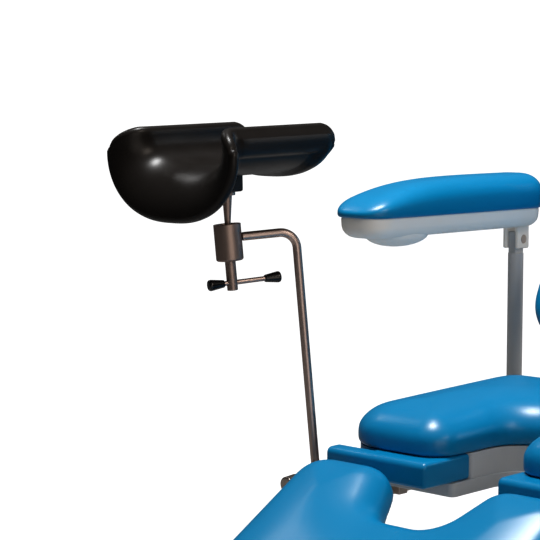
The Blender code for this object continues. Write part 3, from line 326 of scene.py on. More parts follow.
def turned(profile: Profile, edge: float = 0.0006, sides: int = 56) -> Shape:
    """A solid of revolution about Z with eased edges.

    Args:
        profile: (radius, height) pairs from one end face to the other.
        edge: How far each rounding reaches.
        sides: Points round the axis.

    Returns:
        The solid.
    """
    (first, low), (last, high) = profile[0], profile[-1]
    ends = [(first * END_SHARE, low), *profile, (last * END_SHARE, high)]
    return loft([circle(r, z, sides) for r, z in eased(ends, edge)])


def turned_hollow(profile: Profile, edge: float = 0.0006, sides: int = 56) -> Shape:
    """A solid of revolution about Z with a way through it.

    Args:
        profile: A closed outline of (radius, height) pairs.
        edge: How far each rounding reaches.
        sides: Points round the axis.

    Returns:
        The solid.
    """
    rings = []
    for i in range(sides):
        turn = Matrix.Rotation(math.tau * i / sides, 3, "Z")
        rings.append([turn @ Vector((r, 0, z)) for r, z in eased(profile, edge, closed=True)])
    return loft(rings, closed=True)


def along(start: Sequence[float], end: Sequence[float]) -> Matrix:
    """The matrix that takes +Z at the origin to the line from start to end."""
    direction = Vector(end) - Vector(start)
    return Matrix.Translation(start) @ Vector((0, 0, 1)).rotation_difference(direction).to_matrix().to_4x4()


def bar(start: Sequence[float], end: Sequence[float], radius: float, edge: float = 0.0008,
        sides: int = 40) -> Shape:
    """A straight round bar.

    Args:
        start: The middle of its first end.
        end: The middle of its other end.
        radius: Its radius.
        edge: How far the rounding of its ends reaches.
        sides: Points round the bar.

    Returns:
        The bar.
    """
    shape = turned([(radius, 0), (radius, (Vector(end) - Vector(start)).length)], edge, sides)
    shape.transform(along(start, end))
    return shape


def cross_bar(half: float, radius: float, edge: float = 0.0, y: float = 0.0, z: float = 0.0) -> Shape:
    """A bar along X, centred, as a hinge's pin or the cutter of its bore."""
    return bar((-half, y, z), (half, y, z), radius, edge)


def bent_bar(corners: Sequence[Sequence[float]], radius: float, bend: float, edge: float = 0.001,
             sides: int = 40, steps: int = 20) -> Shape:
    """A round bar through corner points, bent to a radius at each inner corner.

    Args:
        corners: The corner points of the bar's middle line.
        radius: The bar's radius.
        bend: The radius of each bend.
        edge: The chamfer at both ends.
        sides: Points round the bar.
        steps: Rings in each bend, less one.

    Returns:
        The bar.
    """
    points = [Vector(corner) for corner in corners]
    begin, finish = (points[1] - points[0]).normalized(), (points[-1] - points[-2]).normalized()
    path = [(points[0], begin, radius - edge), (points[0] + begin * edge, begin, radius)]
    for before, here, after in zip(points, points[1:], points[2:]):
        back, on = (before - here).normalized(), (after - here).normalized()
        half = back.angle(on) / 2
        centre = here + (back + on).normalized() * bend / math.sin(half)
        first = here + back * bend / math.tan(half) - centre
        axis = (-back).cross(on).normalized()
        for k in range(steps + 1):
            turn = Matrix.Rotation((math.pi - 2 * half) * k / steps, 3, axis)
            path.append((centre + turn @ first, turn @ -back, radius))
    path += [(points[-1] - finish * edge, finish, radius), (points[-1], finish, radius - edge)]
    across = begin.orthogonal()
    rings = []
    for i, (point, direction, size) in enumerate(path):
        if i:
            across = path[i - 1][1].rotation_difference(direction) @ across
        first = across.normalized()
        second = direction.cross(first)
        rings.append([point + first * p.x + second * p.y for p in circle(size, 0, sides)])
    return loft(rings)


def filleted(corners: Sequence[Corner], step: float = math.radians(6)) -> list[Vector]:
    """Round off an outline's corners.

    Args:
        corners: (x, y, fillet radius) corners in counter-clockwise order.
        step: The most that one edge of a fillet turns.

    Returns:
        The outline's points.
    """
    points = []
    for i, (x, y, radius) in enumerate(corners):
        here = Vector((x, y))
        back = (Vector(corners[i - 1][:2]) - here).normalized()
        on = (Vector(corners[(i + 1) % len(corners)][:2]) - here).normalized()
        half = back.angle(on) / 2
        centre = here + (back + on).normalized() * radius / math.sin(half)
        first = here + back * radius / math.tan(half) - centre
        sweep = math.pi - 2 * half
        turn = math.copysign(sweep, on.x * back.y - on.y * back.x)
        count = max(2, math.ceil(sweep / step))
        points += [centre + Matrix.Rotation(turn * k / count, 2) @ first for k in range(count + 1)]
    return points


def inset(outline: Sequence[Vector], distance: float) -> list[Vector]:
    """Move an outline inwards.

    Args:
        outline: The points in counter-clockwise order.
        distance: How far in they move.

    Returns:
        The moved points.
    """
    moved = []
    for i, point in enumerate(outline):
        before = (point - outline[i - 1]).normalized()
        after = (outline[(i + 1) % len(outline)] - point).normalized()
        normal = Vector((-before.y - after.y, before.x + after.x)).normalized()
        moved.append(point + normal * distance / max(MITRE_LIMIT, normal.dot(Vector((-after.y, after.x)))))
    return moved


def resampled(outline: Sequence[Vector], step: float) -> list[Vector]:
    """Add points to an outline.

    Args:
        outline: The points of a closed outline.
        step: The furthest that neighbours may lie apart.

    Returns:
        The old and new points in order.
    """
    points = []
    for start, end in zip(outline, [*outline[1:], outline[0]]):
        count = math.ceil((end - start).length / step)
        points += [start.lerp(end, k / count) for k in range(count)]
    return points


def stacked(outline: Sequence[Vector], levels: Profile) -> Shape:
    """A body through copies of an outline, each moved in by a distance and set at a height."""
    return loft([[Vector((*point, z)) for point in inset(outline, d)] for d, z in levels])


def slab(outline: Sequence[Vector], low: float, high: float, edge: float = 0.0012) -> Shape:
    """An extruded outline between two heights, with eased edges."""
    curve = EDGE_CURVE * edge
    return stacked(outline, [(edge, low), (curve, low + curve), (0, low + edge), (0, high - edge),
                             (curve, high - curve), (edge, high)])


def rounded(half_x: float, low_y: float, high_y: float, radius: float) -> list[Vector]:
    """The outline of a rounded rectangle, centred across."""
    return filleted([(-half_x, low_y, radius), (half_x, low_y, radius), (half_x, high_y, radius),
                     (-half_x, high_y, radius)])


def box(low: Sequence[float], high: Sequence[float], edge: float = 0.0, side: int = 1) -> Shape:
    """A box with rounded edges.

    Args:
        low: Its lowest corner.
        high: Its highest corner.
        edge: The rounding of its edges.
        side: Less than none where it is mirrored in X.

    Returns:
        The box.
    """
    if side < 0:
        low, high = (-high[0], *low[1:]), (-low[0], *high[1:])
    shape = bmesh.new()
    bmesh.ops.create_cube(shape, size=1.0)
    for vert in shape.verts:
        vert.co = [low[i] if vert.co[i] < 0 else high[i] for i in range(3)]
    if edge:
        bmesh.ops.bevel(shape, geom=list(shape.edges), offset=edge, segments=BEVEL_SEGMENTS, profile=0.5,
                        affect="EDGES")
    return shape


def temporary(shape: Shape) -> bpy.types.Object:
    """Hold a shape while modifiers work on it.

    Args:
        shape: The shape, which is freed.

    Returns:
        An object with its mesh.
    """
    bmesh.ops.recalc_face_normals(shape, faces=shape.faces)
    mesh = bpy.data.meshes.new("working")
    shape.to_mesh(mesh)
    shape.free()
    made = bpy.data.objects.new("working", mesh)
    bpy.context.scene.collection.objects.link(made)
    return made


def worked(made: bpy.types.Object, *helpers: bpy.types.Object) -> Shape:
    """Take an object's shape after its modifiers.

    Args:
        made: The object, which is removed.
        helpers: Objects that its modifiers used, which are removed too.

    Returns:
        The shape.
    """
    bpy.context.view_layer.update()
    shape = bmesh.new()
    shape.from_mesh(made.evaluated_get(bpy.context.evaluated_depsgraph_get()).data)
    for used in (made, *helpers):
        mesh = used.data
        bpy.data.objects.remove(used)
        bpy.data.meshes.remove(mesh)
    return shape


def carved(first: Shape, adds: Iterable[Shape] = (), cuts: Iterable[Shape] = ()) -> Shape:
    """Join shapes to a first one and cut others from it.

    Args:
        first: The body to start from.
        adds: Bodies to join.
        cuts: Bodies to cut away.

    Returns:
        The finished body.
    """
    made = temporary(first)
    helpers = []
    for operation, shapes in (("UNION", adds), ("DIFFERENCE", cuts)):
        for shape in shapes:
            step = made.modifiers.new(operation, "BOOLEAN")
            step.operation = operation
            step.object = temporary(shape)
            helpers.append(step.object)
    return worked(made, *helpers)


def moulded(shape: Shape, voxel: float, rounds: int) -> Shape:
    """Run shapes together into one skin with soft edges.

    Args:
        shape: Closed bodies, which may overlap.
        voxel: The size of the new skin's faces.
        rounds: How often the skin is smoothed.

    Returns:
        The skin, an even mesh.
    """
    made = temporary(shape)
    step = made.modifiers.new("skin", "REMESH")
    step.mode = "VOXEL"
    step.voxel_size = voxel
    skin = worked(made)
    for _ in range(rounds):
        bmesh.ops.smooth_vert(skin, verts=skin.verts, factor=SMOOTH_FACTOR, use_axis_x=True, use_axis_y=True,
                              use_axis_z=True)
    return skin


def gathered(*shapes: Shape) -> Shape:
    """Gather shapes into one, still overlapping.

    Args:
        shapes: The shapes, which are freed.

    Returns:
        The whole.
    """
    whole = bmesh.new()
    for shape in shapes:
        mesh = bpy.data.meshes.new("working")
        shape.to_mesh(mesh)
        shape.free()
        whole.from_mesh(mesh)
        bpy.data.meshes.remove(mesh)
    return whole


def dress(node: str, finish: Finish) -> None:
    """Give a carried-over node its finish in every material slot.

    Args:
        node: The CAD node.
        finish: Its finish.
    """
    for slot in frame["nodes"][node].material_slots:
        slot.material = finish.material()
    LOG.info("%s keeps its shape and wears %s", node, finish.name)


def make(node: str, shape: Shape, finish: Finish, place: Matrix, fill: float = 0.0,
         sharp: float = 38.0) -> None:
    """Make the piece that stands for a node.

    Args:
        node: The CAD node, whose body the piece rides on.
        shape: The piece's shape in its own frame.
        finish: Its finish.
        place: Where its frame stands at rest.
        fill: Any value for a padded piece, or none for a hard one, which gets weighted normals; its size is not
            used.
        sharp: The angle in degrees from which an edge stays sharp.
    """
    shape.transform(place)
    bmesh.ops.recalc_face_normals(shape, faces=shape.faces)
    mesh = bpy.data.meshes.new(f"{node}_{finish.suffix}")
    shape.to_mesh(mesh)
    shape.free()
    mesh.shade_smooth()
    mesh.set_sharp_from_angle(angle=math.radians(sharp))
    mesh.materials.append(finish.material())
    piece = bpy.data.objects.new(mesh.name, mesh)
    bpy.context.scene.collection.objects.link(piece)
    if not fill:
        even = piece.modifiers.new("even_normals", "WEIGHTED_NORMAL")
        even.keep_sharp = True
    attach(piece, BODY_OF[node])
    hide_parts(node)
    LOG.info("%s made in %s, %d faces", piece.name, finish.name, len(mesh.polygons))


@dataclass(frozen=True)
class Stance:
    """Rest places of the chair's joints, the same as in the part."""

    shift_y: float = -0.0472
    back_axis: Corner = (0.0, 0.294, 0.672)
    recline: float = math.radians(27)
    leg_axis: Corner = (0.0, -0.214, 0.674)
    leg_drop: float = math.radians(30)
    arm_axis: Corner = (0.345, 0.392, 1.012)
    stand_foot: Corner = (0.326, -0.160, 0.642)
    lean_out: float = math.radians(3.2)
    lean_front: float = math.radians(3.8)

    def chair(self, x: float = 0.0, y: float = 0.0, z: float = 0.0) -> Matrix:
        """A place in the chair's own frame."""
        return Matrix.Translation((0, self.shift_y, 0)) @ Matrix.Translation((x, y, z))

    def back(self) -> Matrix:
        """The backrest: Z runs up it and -Y out of its front."""
        return self.chair(*self.back_axis) @ Matrix.Rotation(-self.recline, 4, "X")

    def leg(self) -> Matrix:
        """The leg plate: -Y runs down it."""
        return self.chair(*self.leg_axis) @ Matrix.Rotation(self.leg_drop, 4, "X")

    def arm(self, side: Side) -> Matrix:
        """An armrest, at its hinge."""
        x, y, z = self.arm_axis
        return self.chair(side.value * x, y, z)

    def stand(self, side: Side) -> Matrix:
        """A crutch stand's clamp on its rail."""
        x, y, z = self.stand_foot
        return self.chair(side.value * x, y, z)

    def lean(self, side: Side) -> Matrix:
        """How a crutch stand's rod leans."""
        return Matrix.Rotation(side.value * self.lean_out, 4, "Y") @ Matrix.Rotation(self.lean_front, 4, "X")


STANCE = Stance()


@dataclass
class Base:
    """Feet, base plate and the moulded cover over it."""

    width: float = 0.52
    front: float = -0.30
    rear: float = 0.54
    corner: float = 0.050
    foot_radius: float = 0.026
    foot_height: float = 0.030
    foot_inset: float = 0.050
    foot_bevel: float = 0.003
    foot_rim: float = 0.009
    foot_neck: tuple[float, float] = (0.013, 0.0155)
    foot_stem: float = 0.012
    foot_ease: float = 0.0015
    plate_top: float = 0.050
    cover_low: float = 0.014
    cover_top: float = 0.120
    cover_edge: float = 0.0012
    cover_shoulder: float = 0.062
    cover_round: float = 0.044
    round_degrees: int = 8
    wall: float = 0.004
    seam: tuple[float, float] = (0.0560, 0.0584)
    seam_depth: float = 0.0012
    column_half: float = 0.0853
    column_corner: float = 0.020
    column_y: float = 0.10
    collar: float = 0.012
    collar_corner: float = 0.030
    collar_sink: float = 0.008
    collar_rise: float = 0.004
    collar_ease: float = 0.003

    def build(self) -> None:
        """Make the feet and the cover, and dress the plate."""
        dress("base_plate", POWDER_COAT)
        r, bevel, top = self.foot_radius, self.foot_bevel, self.foot_height - SEAT_GAP
        section = [(r - bevel, 0), (r, bevel), (r, self.foot_rim), self.foot_neck, (self.foot_stem, top)]
        for side in Side:
            x = side.value * (self.width / 2 - self.foot_inset)
            for end, y in (("front", self.front + self.foot_inset), ("rear", self.rear - self.foot_inset)):
                make(side.named(f"foot_{end}"), turned(section, self.foot_ease), RUBBER, STANCE.chair(x, y))
        make("base_cover", self.cover(), GREY_ABS, STANCE.chair())

    def levels(self, inner: float) -> list[tuple[float, float]]:
        """The cover's section from its lower edge to its top.

        Args:
            inner: How far the section lies inside the outer face.

        Returns:
            Insets and heights.
        """
        low = -OVERCUT if inner else self.cover_low
        points = [(self.cover_edge, low), (0.0, low + self.cover_edge), (0.0, self.cover_shoulder)]
        rise = self.cover_top - self.cover_shoulder
        for degrees in range(self.round_degrees, 90 + self.round_degrees, self.round_degrees):
            angle = min(math.radians(degrees), math.pi / 2)
            draw = self.cover_round * (1 - math.cos(angle))
            points.append((draw, self.cover_shoulder + rise * math.sin(angle)))
        return [(d + inner, z - inner if z > 0 else z) for d, z in points]

    def cover(self) -> Shape:
        """The cover: a soft-edged lid with a seam round it, a square way for the column and a collar.

        Returns:
            The cover.
        """
        outline = rounded(self.width / 2, self.front, self.rear, self.corner)
        half, y = self.column_half, self.column_y
        wide = half + self.collar
        collar = slab(rounded(wide, y - wide, y + wide, self.collar_corner), self.cover_top - self.collar_sink,
                      self.cover_top + self.collar_rise, self.collar_ease)
        way = slab(rounded(half, y - half, y + half, self.column_corner), self.plate_top,
                   self.cover_top + THROUGH, 0.0)
        low, high = self.seam
        keep = stacked(outline, [(self.seam_depth, low - OVERCUT), (self.seam_depth, high + OVERCUT)])
        ring = carved(stacked(outline, [(-OVERCUT, low), (-OVERCUT, high)]), cuts=[keep])
        inside = stacked(outline, self.levels(self.wall))
        return carved(stacked(outline, self.levels(0.0)), [collar], [inside, way, ring])


@dataclass
class Column:
    """The telescoping lift column and the drive in it."""

    side: float = 0.170
    wall: float = 0.005
    corner: float = 0.020
    edge: float = 0.0012
    slide_gap: float = 0.0006
    low: float = 0.0503
    top: float = 0.440
    inner_low: float = 0.165
    inner_top: float = 0.6657
    y: float = 0.10
    wiper_proud: float = 0.003
    wiper_touch: float = 0.0001
    wiper_below: float = 0.016
    wiper_above: float = 0.004
    wiper_ease: float = 0.002
    tube_below: float = 0.0002

    def outline(self, side: float, corner: float) -> list[Vector]:
        """A rounded square about the column's axis."""
        return rounded(side / 2, self.y - side / 2, self.y + side / 2, corner)

    def tube(self, side: float, low: float, high: float, corner: float) -> Shape:
        """A square tube about the column's axis, open at both ends.

        Args:
            side: Its outer width.
            low: Its lower end.
            high: Its upper end.
            corner: Its outer corner radius.

        Returns:
            The tube.
        """
        outline, edge = self.outline(side, corner), self.edge
        sections = [(edge, low), (0.0, low + edge), (0.0, high - edge), (edge, high), (self.wall, high),
                    (self.wall, low)]
        return loft([[Vector((*p, z)) for p in inset(outline, d)] for d, z in sections], closed=True)

    def build(self) -> None:
        """Make both tubes with the wiper that closes the gap between them, and dress the drive."""
        dress("lift_drive_body", DARK_COAT)
        dress("lift_drive_rod", TURNED_STEEL)
        outline = self.outline(self.side + 2 * self.wiper_proud, self.corner + self.wiper_proud)
        lip = inset(outline, self.wiper_proud + self.wall + self.wiper_touch + self.slide_gap)
        collar = slab(outline, self.top - self.wiper_below, self.top + self.wiper_above, self.wiper_ease)
        wiper = carved(collar, cuts=[slab(lip, self.top - THROUGH, self.top + THROUGH, 0)])
        outer = self.tube(self.side, self.low, self.top - self.tube_below, self.corner)
        make("column_outer", gathered(outer, wiper), POWDER_COAT, STANCE.chair())
        inner_side = self.side - 2 * self.wall - 2 * self.slide_gap
        inner = self.tube(inner_side, self.inner_low, self.inner_top, self.corner - self.wall)
        make("column_inner", inner, POWDER_COAT, STANCE.chair())


@dataclass(frozen=True)
class Foam:
    """How a cushion's moulded foam is shaped: its section, skin, crown and fall towards the edge."""

    thick: float
    crown: float
    dome: float
    voxel: float
    fall: float = 0.0
    fall_reach: float = 1.0
    rise: float = 0.0
    waist: float = 0.42
    fullness: float = 0.9
    steps: int = 12
    foot: Profile = ((0.06, 0.0), (0.015, 0.02), (0.0, 0.06))
    skin_rounds: int = 6
    dome_start: float = 0.5
    edge_step: float = 0.001

    def levels(self) -> list[tuple[float, float]]:
        """The section: drawn in a little at its foot, upright to its waist, rounded to its crown.

        Returns:
            Insets and heights from the foot to the crown.
        """
        points = [(self.crown * draw, self.thick * share) for draw, share in self.foot]
        for k in range(self.steps + 1):
            angle = math.pi / 2 * k / self.steps
            height = self.waist + (1 - self.waist) * math.sin(angle) ** self.fullness
            points.append((self.crown * (1 - math.cos(angle) ** self.fullness), self.thick * height))
        return points

    def pillowed(self, pad: Shape, outline: Sequence[Vector]) -> None:
        """Let a pad fall away towards its edge, as poured foam does.

        Args:
            pad: The pad, which is changed.
            outline: Its plan outline.
        """
        places = resampled(outline, self.edge_step)
        tree = KDTree(len(places))
        for i, place in enumerate(places):
            tree.insert((*place, 0.0), i)
        tree.balance()
        for vert in pad.verts:
            inside = min(1.0, tree.find((vert.co.x, vert.co.y, 0.0))[2] / self.fall_reach)
            vert.co.z *= 1 - self.fall * (1 - inside) ** 2

    def pad(self, outline: Sequence[Vector], width: float, start: float, end: float) -> Shape:
        """Mould a pad: its skin, its fall towards the edge, and its crown.

        Args:
            outline: Its plan outline.
            width: Its width along X.
            start: Where it starts along Y.
            end: Where it ends along Y.

        Returns:
            The pad, which rests on z = 0.
        """
        pad = moulded(stacked(outline, self.levels()), self.voxel, self.skin_rounds)
        if self.fall:
            self.pillowed(pad, outline)
        for vert in pad.verts:
            x, y, z = vert.co
            share = (y - start) / (end - start)
            hump = max(0.0, 1 - (2 * x / width) ** 2) * max(0.0, 1 - (2 * share - 1) ** 2)
            lift = self.dome * hump * max(0.0, z / self.thick - self.dome_start)
            vert.co.z = z * (1 + self.rise * share) + lift
        return pad


@dataclass
class Seat:
    """Seat frame, seat cushion with its cut-out, the two front rolls, and the side rails."""

    width: float = 0.54
    front: float = -0.180
    rear: float = 0.262
    corner: float = 0.086
    lip: float = 0.050
    cutout_half: float = 0.064
    cutout_end: float = 0.016
    cutout_round: float = 0.98
    foam: Foam = Foam(thick=0.068, crown=0.046, dome=0.006, voxel=0.005, fall=0.30, fall_reach=0.13, rise=0.17)
    roll_thick: float = 0.040
    roll_span_x: tuple[float, float] = (0.066, 0.262)
    roll_span_y: tuple[float, float] = (-0.212, -0.100)
    roll_nose: float = 0.010
    roll_foot: float = 0.0064
    roll_shelf: float = 0.026
    roll_tuck: float = 0.004
    roll_end_draw: float = 0.9
    roll_end_turns: tuple[float, ...] = (0.0, 0.4, 0.8, 1.2, 1.5)
    relief_steps: int = 24
    frame_low: float = 0.666
    frame_floor: float = 0.688
    frame_width: float = 0.51
    frame_front: float = -0.145
    frame_rear: float = 0.270
    frame_corner: float = 0.015
    frame_lip: float = 0.010
    frame_ease: float = 0.002
    deck_sink: float = 0.004
    deck_ease: float = 0.001
    ear_thick: float = 0.010
    back_ear: Corner = (0.215, 0.017, 0.050)
    leg_ear: Corner = (0.205, 0.012, 0.040)
    back_bore: float = 0.0083
    leg_bore: float = 0.0063

    def outline(self, half: float, front: float, rear: float, corner: float, lip: float) -> list[Vector]:
        """A seat outline with the round cut-out in its front edge.

        Args:
            half: Half its width.
            front: Its front edge.
            rear: Its rear edge.
            corner: The radius of its four corners.
            lip: The radius where the cut-out meets the front edge.

        Returns:
            The outline's points.
        """
        c, deep, end = self.cutout_half, self.cutout_end, self.cutout_half * self.cutout_round
        return filleted([
            (-half, front, corner), (-c, front, lip), (-c, deep, end), (c, deep, end), (c, front, lip),
            (half, front, corner), (half, rear, corner), (-half, rear, corner),
        ])

    def build(self) -> None:
        """Make the frame and the foam, and dress the rails."""
        make("seat_frame", self.frame(), POWDER_COAT, STANCE.chair())
        floor = self.frame_floor + SEAT_GAP
        for side in Side:
            dress(side.named("side_rail"), BRUSHED_STEEL)
            place = STANCE.chair(x=side.value * sum(self.roll_span_x) / 2, z=floor)
            make(side.named("front_roll"), self.roll(side), BLUE_FOAM, place, FOAM_FILL)
        outline = self.outline(self.width / 2, self.front, self.rear, self.corner, self.lip)
        cushion = self.foam.pad(outline, self.width, self.front, self.rear)
        make("seat_cushion", cushion, BLUE_FOAM, STANCE.chair(z=floor + self.roll_thick), FOAM_FILL)

    def roll_relief(self, side: Side) -> Shape:
        """What a roll leaves free beside the cushion's round corner, so that only its front stands out past it.

        Args:
            side: The roll's side.

        Returns:
            The space, in the roll's own frame.
        """
        centre = Vector((self.width / 2 - self.corner, self.front + self.corner))
        radius, far = self.corner - self.roll_tuck, self.width / 2 + 2 * OVERCUT
        shelf = self.roll_span_y[0] + self.roll_shelf
        turns = [math.pi / 2 * k / self.relief_steps for k in range(self.relief_steps + 1)]
        arc = [centre + radius * Vector((math.cos(a), -math.sin(a))) for a in turns]
        outline = [Vector((centre.x, shelf)), Vector((far, shelf)), Vector((far, centre.y)), *arc]
        middle = side.value * sum(self.roll_span_x) / 2
        placed = [Vector((side.value * point.x - middle, point.y)) for point in outline[::side.value]]
        return stacked(placed, [(0, -2 * OVERCUT), (0, self.roll_thick + 2 * OVERCUT)])

    def roll(self, side: Side) -> Shape:
        """A front roll along X: a block whose front edge is rounded over, with softened ends.

        Args:
            side: The roll's side.

        Returns:
            The roll, cut back beside the cushion's corner.
        """
        half = (self.roll_span_x[1] - self.roll_span_x[0]) / 2
        (front, rear), top, foot = self.roll_span_y, self.roll_thick - SEAT_GAP, self.roll_foot
        section = filleted([(front, 0, foot), (rear, 0, foot), (rear, top, foot), (front, top, self.roll_nose)])
        ends = [(half - foot * (1 - math.sin(a)), self.roll_end_draw * foot * (1 - math.cos(a)))
                for a in self.roll_end_turns]
        stations = [(-x, d) for x, d in reversed(ends)] + ends
        block = loft([[Vector((x, *point)) for point in inset(section, d)] for x, d in stations])
        return carved(block, cuts=[self.roll_relief(side)])

    def frame(self) -> Shape:
        """The seat frame: a plate, a raised deck behind the rolls, and the ears of both hinges.

        Returns:
            The frame.
        """
        half, ease, floor = self.frame_width / 2, self.frame_ease, self.frame_floor
        rear, corner, lip = self.frame_rear, self.frame_corner, self.frame_lip
        plate = slab(self.outline(half, self.frame_front, rear, corner, lip), self.frame_low, floor, ease)
        deck_front = self.roll_span_y[1] + SEAT_GAP - ease
        deck = slab(inset(self.outline(half, deck_front, rear, corner, lip), ease), floor - self.deck_sink,
                    floor + self.roll_thick, self.deck_ease)
        adds = [deck]
        back_y, back_z, leg_y, leg_z = *STANCE.back_axis[1:], *STANCE.leg_axis[1:]
        (back_x, back_r, back_root), (leg_x, leg_r, leg_root) = self.back_ear, self.leg_ear
        thick = self.ear_thick
        for side in Side:
            start = back_x - thick / 2
            adds.append(box((start, rear - back_root, back_z - back_r),
                            (start + thick, back_y + back_r, floor - self.deck_sink), ease, side.value))
            start = leg_x - thick / 2
            adds.append(box((start, leg_y - leg_r, leg_z - leg_r),
                            (start + thick, self.frame_front + leg_root, leg_z + leg_r), ease, side.value))
        back_bore = cross_bar(half, self.back_bore, y=back_y, z=back_z)
        leg_bore = cross_bar(half, self.leg_bore, y=leg_y, z=leg_z)
        return carved(plate, adds, [back_bore, leg_bore])


@dataclass
class Backrest:
    """Back frame, cushion, rear shell, hinge pin, and the recline drive."""

    width: float = 0.54
    tube: float = 0.026
    length: float = 0.840
    start: float = 0.165
    corner: float = 0.080
    foam: Foam = Foam(thick=0.075, crown=0.046, dome=0.010, voxel=0.006)
    shell_thick: float = 0.016
    shell_start: float = 0.190
    shell_inset: float = 0.020
    shell_edge: Profile = ((0.026, 0.0), (0.0248, 0.0006), (0.024, 0.002), (0.0225, 0.003), (0.012, 0.0035),
                           (0.006, 0.005), (0.002, 0.008), (0.0, 0.012))
    pin_radius: float = 0.008
    pin_reach: float = 0.225
    pin_ease: float = 0.0015
    lever_drop: float = 0.082
    lever_lean: float = math.radians(41)
    drive_x: float = 0.140
    drive_front: float = -0.110
    drive_rear: float = 0.110
    drive_radius: float = 0.021
    drive_ease: float = 0.003
    drive_bore: float = 0.0103
    bore_start: float = 0.030
    motor_half: float = 0.024
    motor_span: tuple[float, float] = (0.004, 0.064)
    motor_drop: float = 0.075
    motor_ease: float = 0.008
    rib_places: tuple[float, float] = (0.018, 0.050)
    rib_span: tuple[float, float] = (-0.081, -0.070)
    rib_radius: float = 0.004
    rib_ease: float = 0.001
    hanger_half: float = 0.016
    hanger_span: tuple[float, float] = (0.080, 0.120)
    hanger_top: float = 0.6657
    hanger_ease: float = 0.002
    rod_start: float = 0.020
    rod_radius: float = 0.010
    rod_ease: float = 0.001
    fork_half: tuple[float, float] = (0.0125, 0.029)
    fork_span: tuple[float, float] = (-0.052, 0.014)
    fork_root: float = 0.010
    fork_ease: float = 0.003
    fork_gap: tuple[float, float] = (0.0065, -0.036)
    fork_slot: tuple[float, float] = (0.022, -0.010)

    def build(self) -> None:
        """Make the cushion, shell, pin and drive, and dress the frame."""
        dress("back_frame", POWDER_COAT)
        upright = Matrix.Rotation(math.pi / 2, 4, "X")
        outline = rounded(self.width / 2, self.start, self.length, self.corner)
        cushion = self.foam.pad(outline, self.width, self.start, self.length)
        seat = Matrix.Translation((0, -self.tube / 2 - SEAT_GAP, 0))
        make("back_cushion", cushion, BLUE_FOAM, STANCE.back() @ seat @ upright, FOAM_FILL)
        half, top = self.width / 2 - self.shell_inset, self.length - self.shell_inset
        tray = rounded(half, self.shell_start, top, self.corner - self.shell_inset)
        shell = stacked(tray, [*self.shell_edge, (0.0, self.shell_thick)])
        seat = Matrix.Translation((0, self.tube / 2 + SEAT_GAP + self.shell_thick, 0))
        make("back_shell", shell, GREY_ABS, STANCE.back() @ seat @ upright)
        pin = cross_bar(self.pin_reach, self.pin_radius, self.pin_ease)
        make("back_hinge_pin", pin, BRUSHED_STEEL, STANCE.back())
        self.drive()

    def drive(self) -> None:
        """Make the recline drive: its tube and motor under the seat frame, and its rod with an open fork."""
        turn = self.lever_lean - STANCE.recline
        height = STANCE.back_axis[2] - self.lever_drop * math.cos(turn)
        reach = STANCE.back_axis[1] + self.lever_drop * math.sin(turn)
        place = STANCE.chair(x=self.drive_x, z=height)
        front, rear, wide = self.drive_front, self.drive_rear, self.motor_half
        motor = box((-wide, front + self.motor_span[0], -self.motor_drop),
                    (wide, front + self.motor_span[1], 0.0), self.motor_ease)
        wide = self.hanger_half
        hanger = box((-wide, front + self.hanger_span[0], 0.0),
                     (wide, front + self.hanger_span[1], self.hanger_top - height), self.hanger_ease)
        low, high = self.rib_span
        ribs = [bar((0, front + y, low), (0, front + y, high), self.rib_radius, self.rib_ease)
                for y in self.rib_places]
        bore = bar((0, front + self.bore_start, 0), (0, rear + OVERCUT, 0), self.drive_bore, 0.0)
        tube = bar((0, front, 0), (0, rear, 0), self.drive_radius, self.drive_ease)
        make("back_drive_tube", carved(tube, [motor, hanger, *ribs], [bore]), DARK_COAT, place)
        (wide, tall), (low, high) = self.fork_half, self.fork_span
        head = box((-wide, reach + low, -tall), (wide, reach + high, tall), self.fork_ease)
        (wide, low), high = self.fork_gap, reach + THROUGH
        gap = box((-wide, reach + low, -THROUGH), (wide, high, THROUGH))
        tall, low = self.fork_slot
        slot = box((-THROUGH, reach + low, -tall), (THROUGH, high, tall))
        stem_end = reach + self.fork_span[0] + self.fork_root
        stem = bar((0, self.rod_start, 0), (0, stem_end, 0), self.rod_radius, self.rod_ease)
        make("back_drive_rod", carved(stem, [head], [gap, slot]), BRUSHED_STEEL, place)


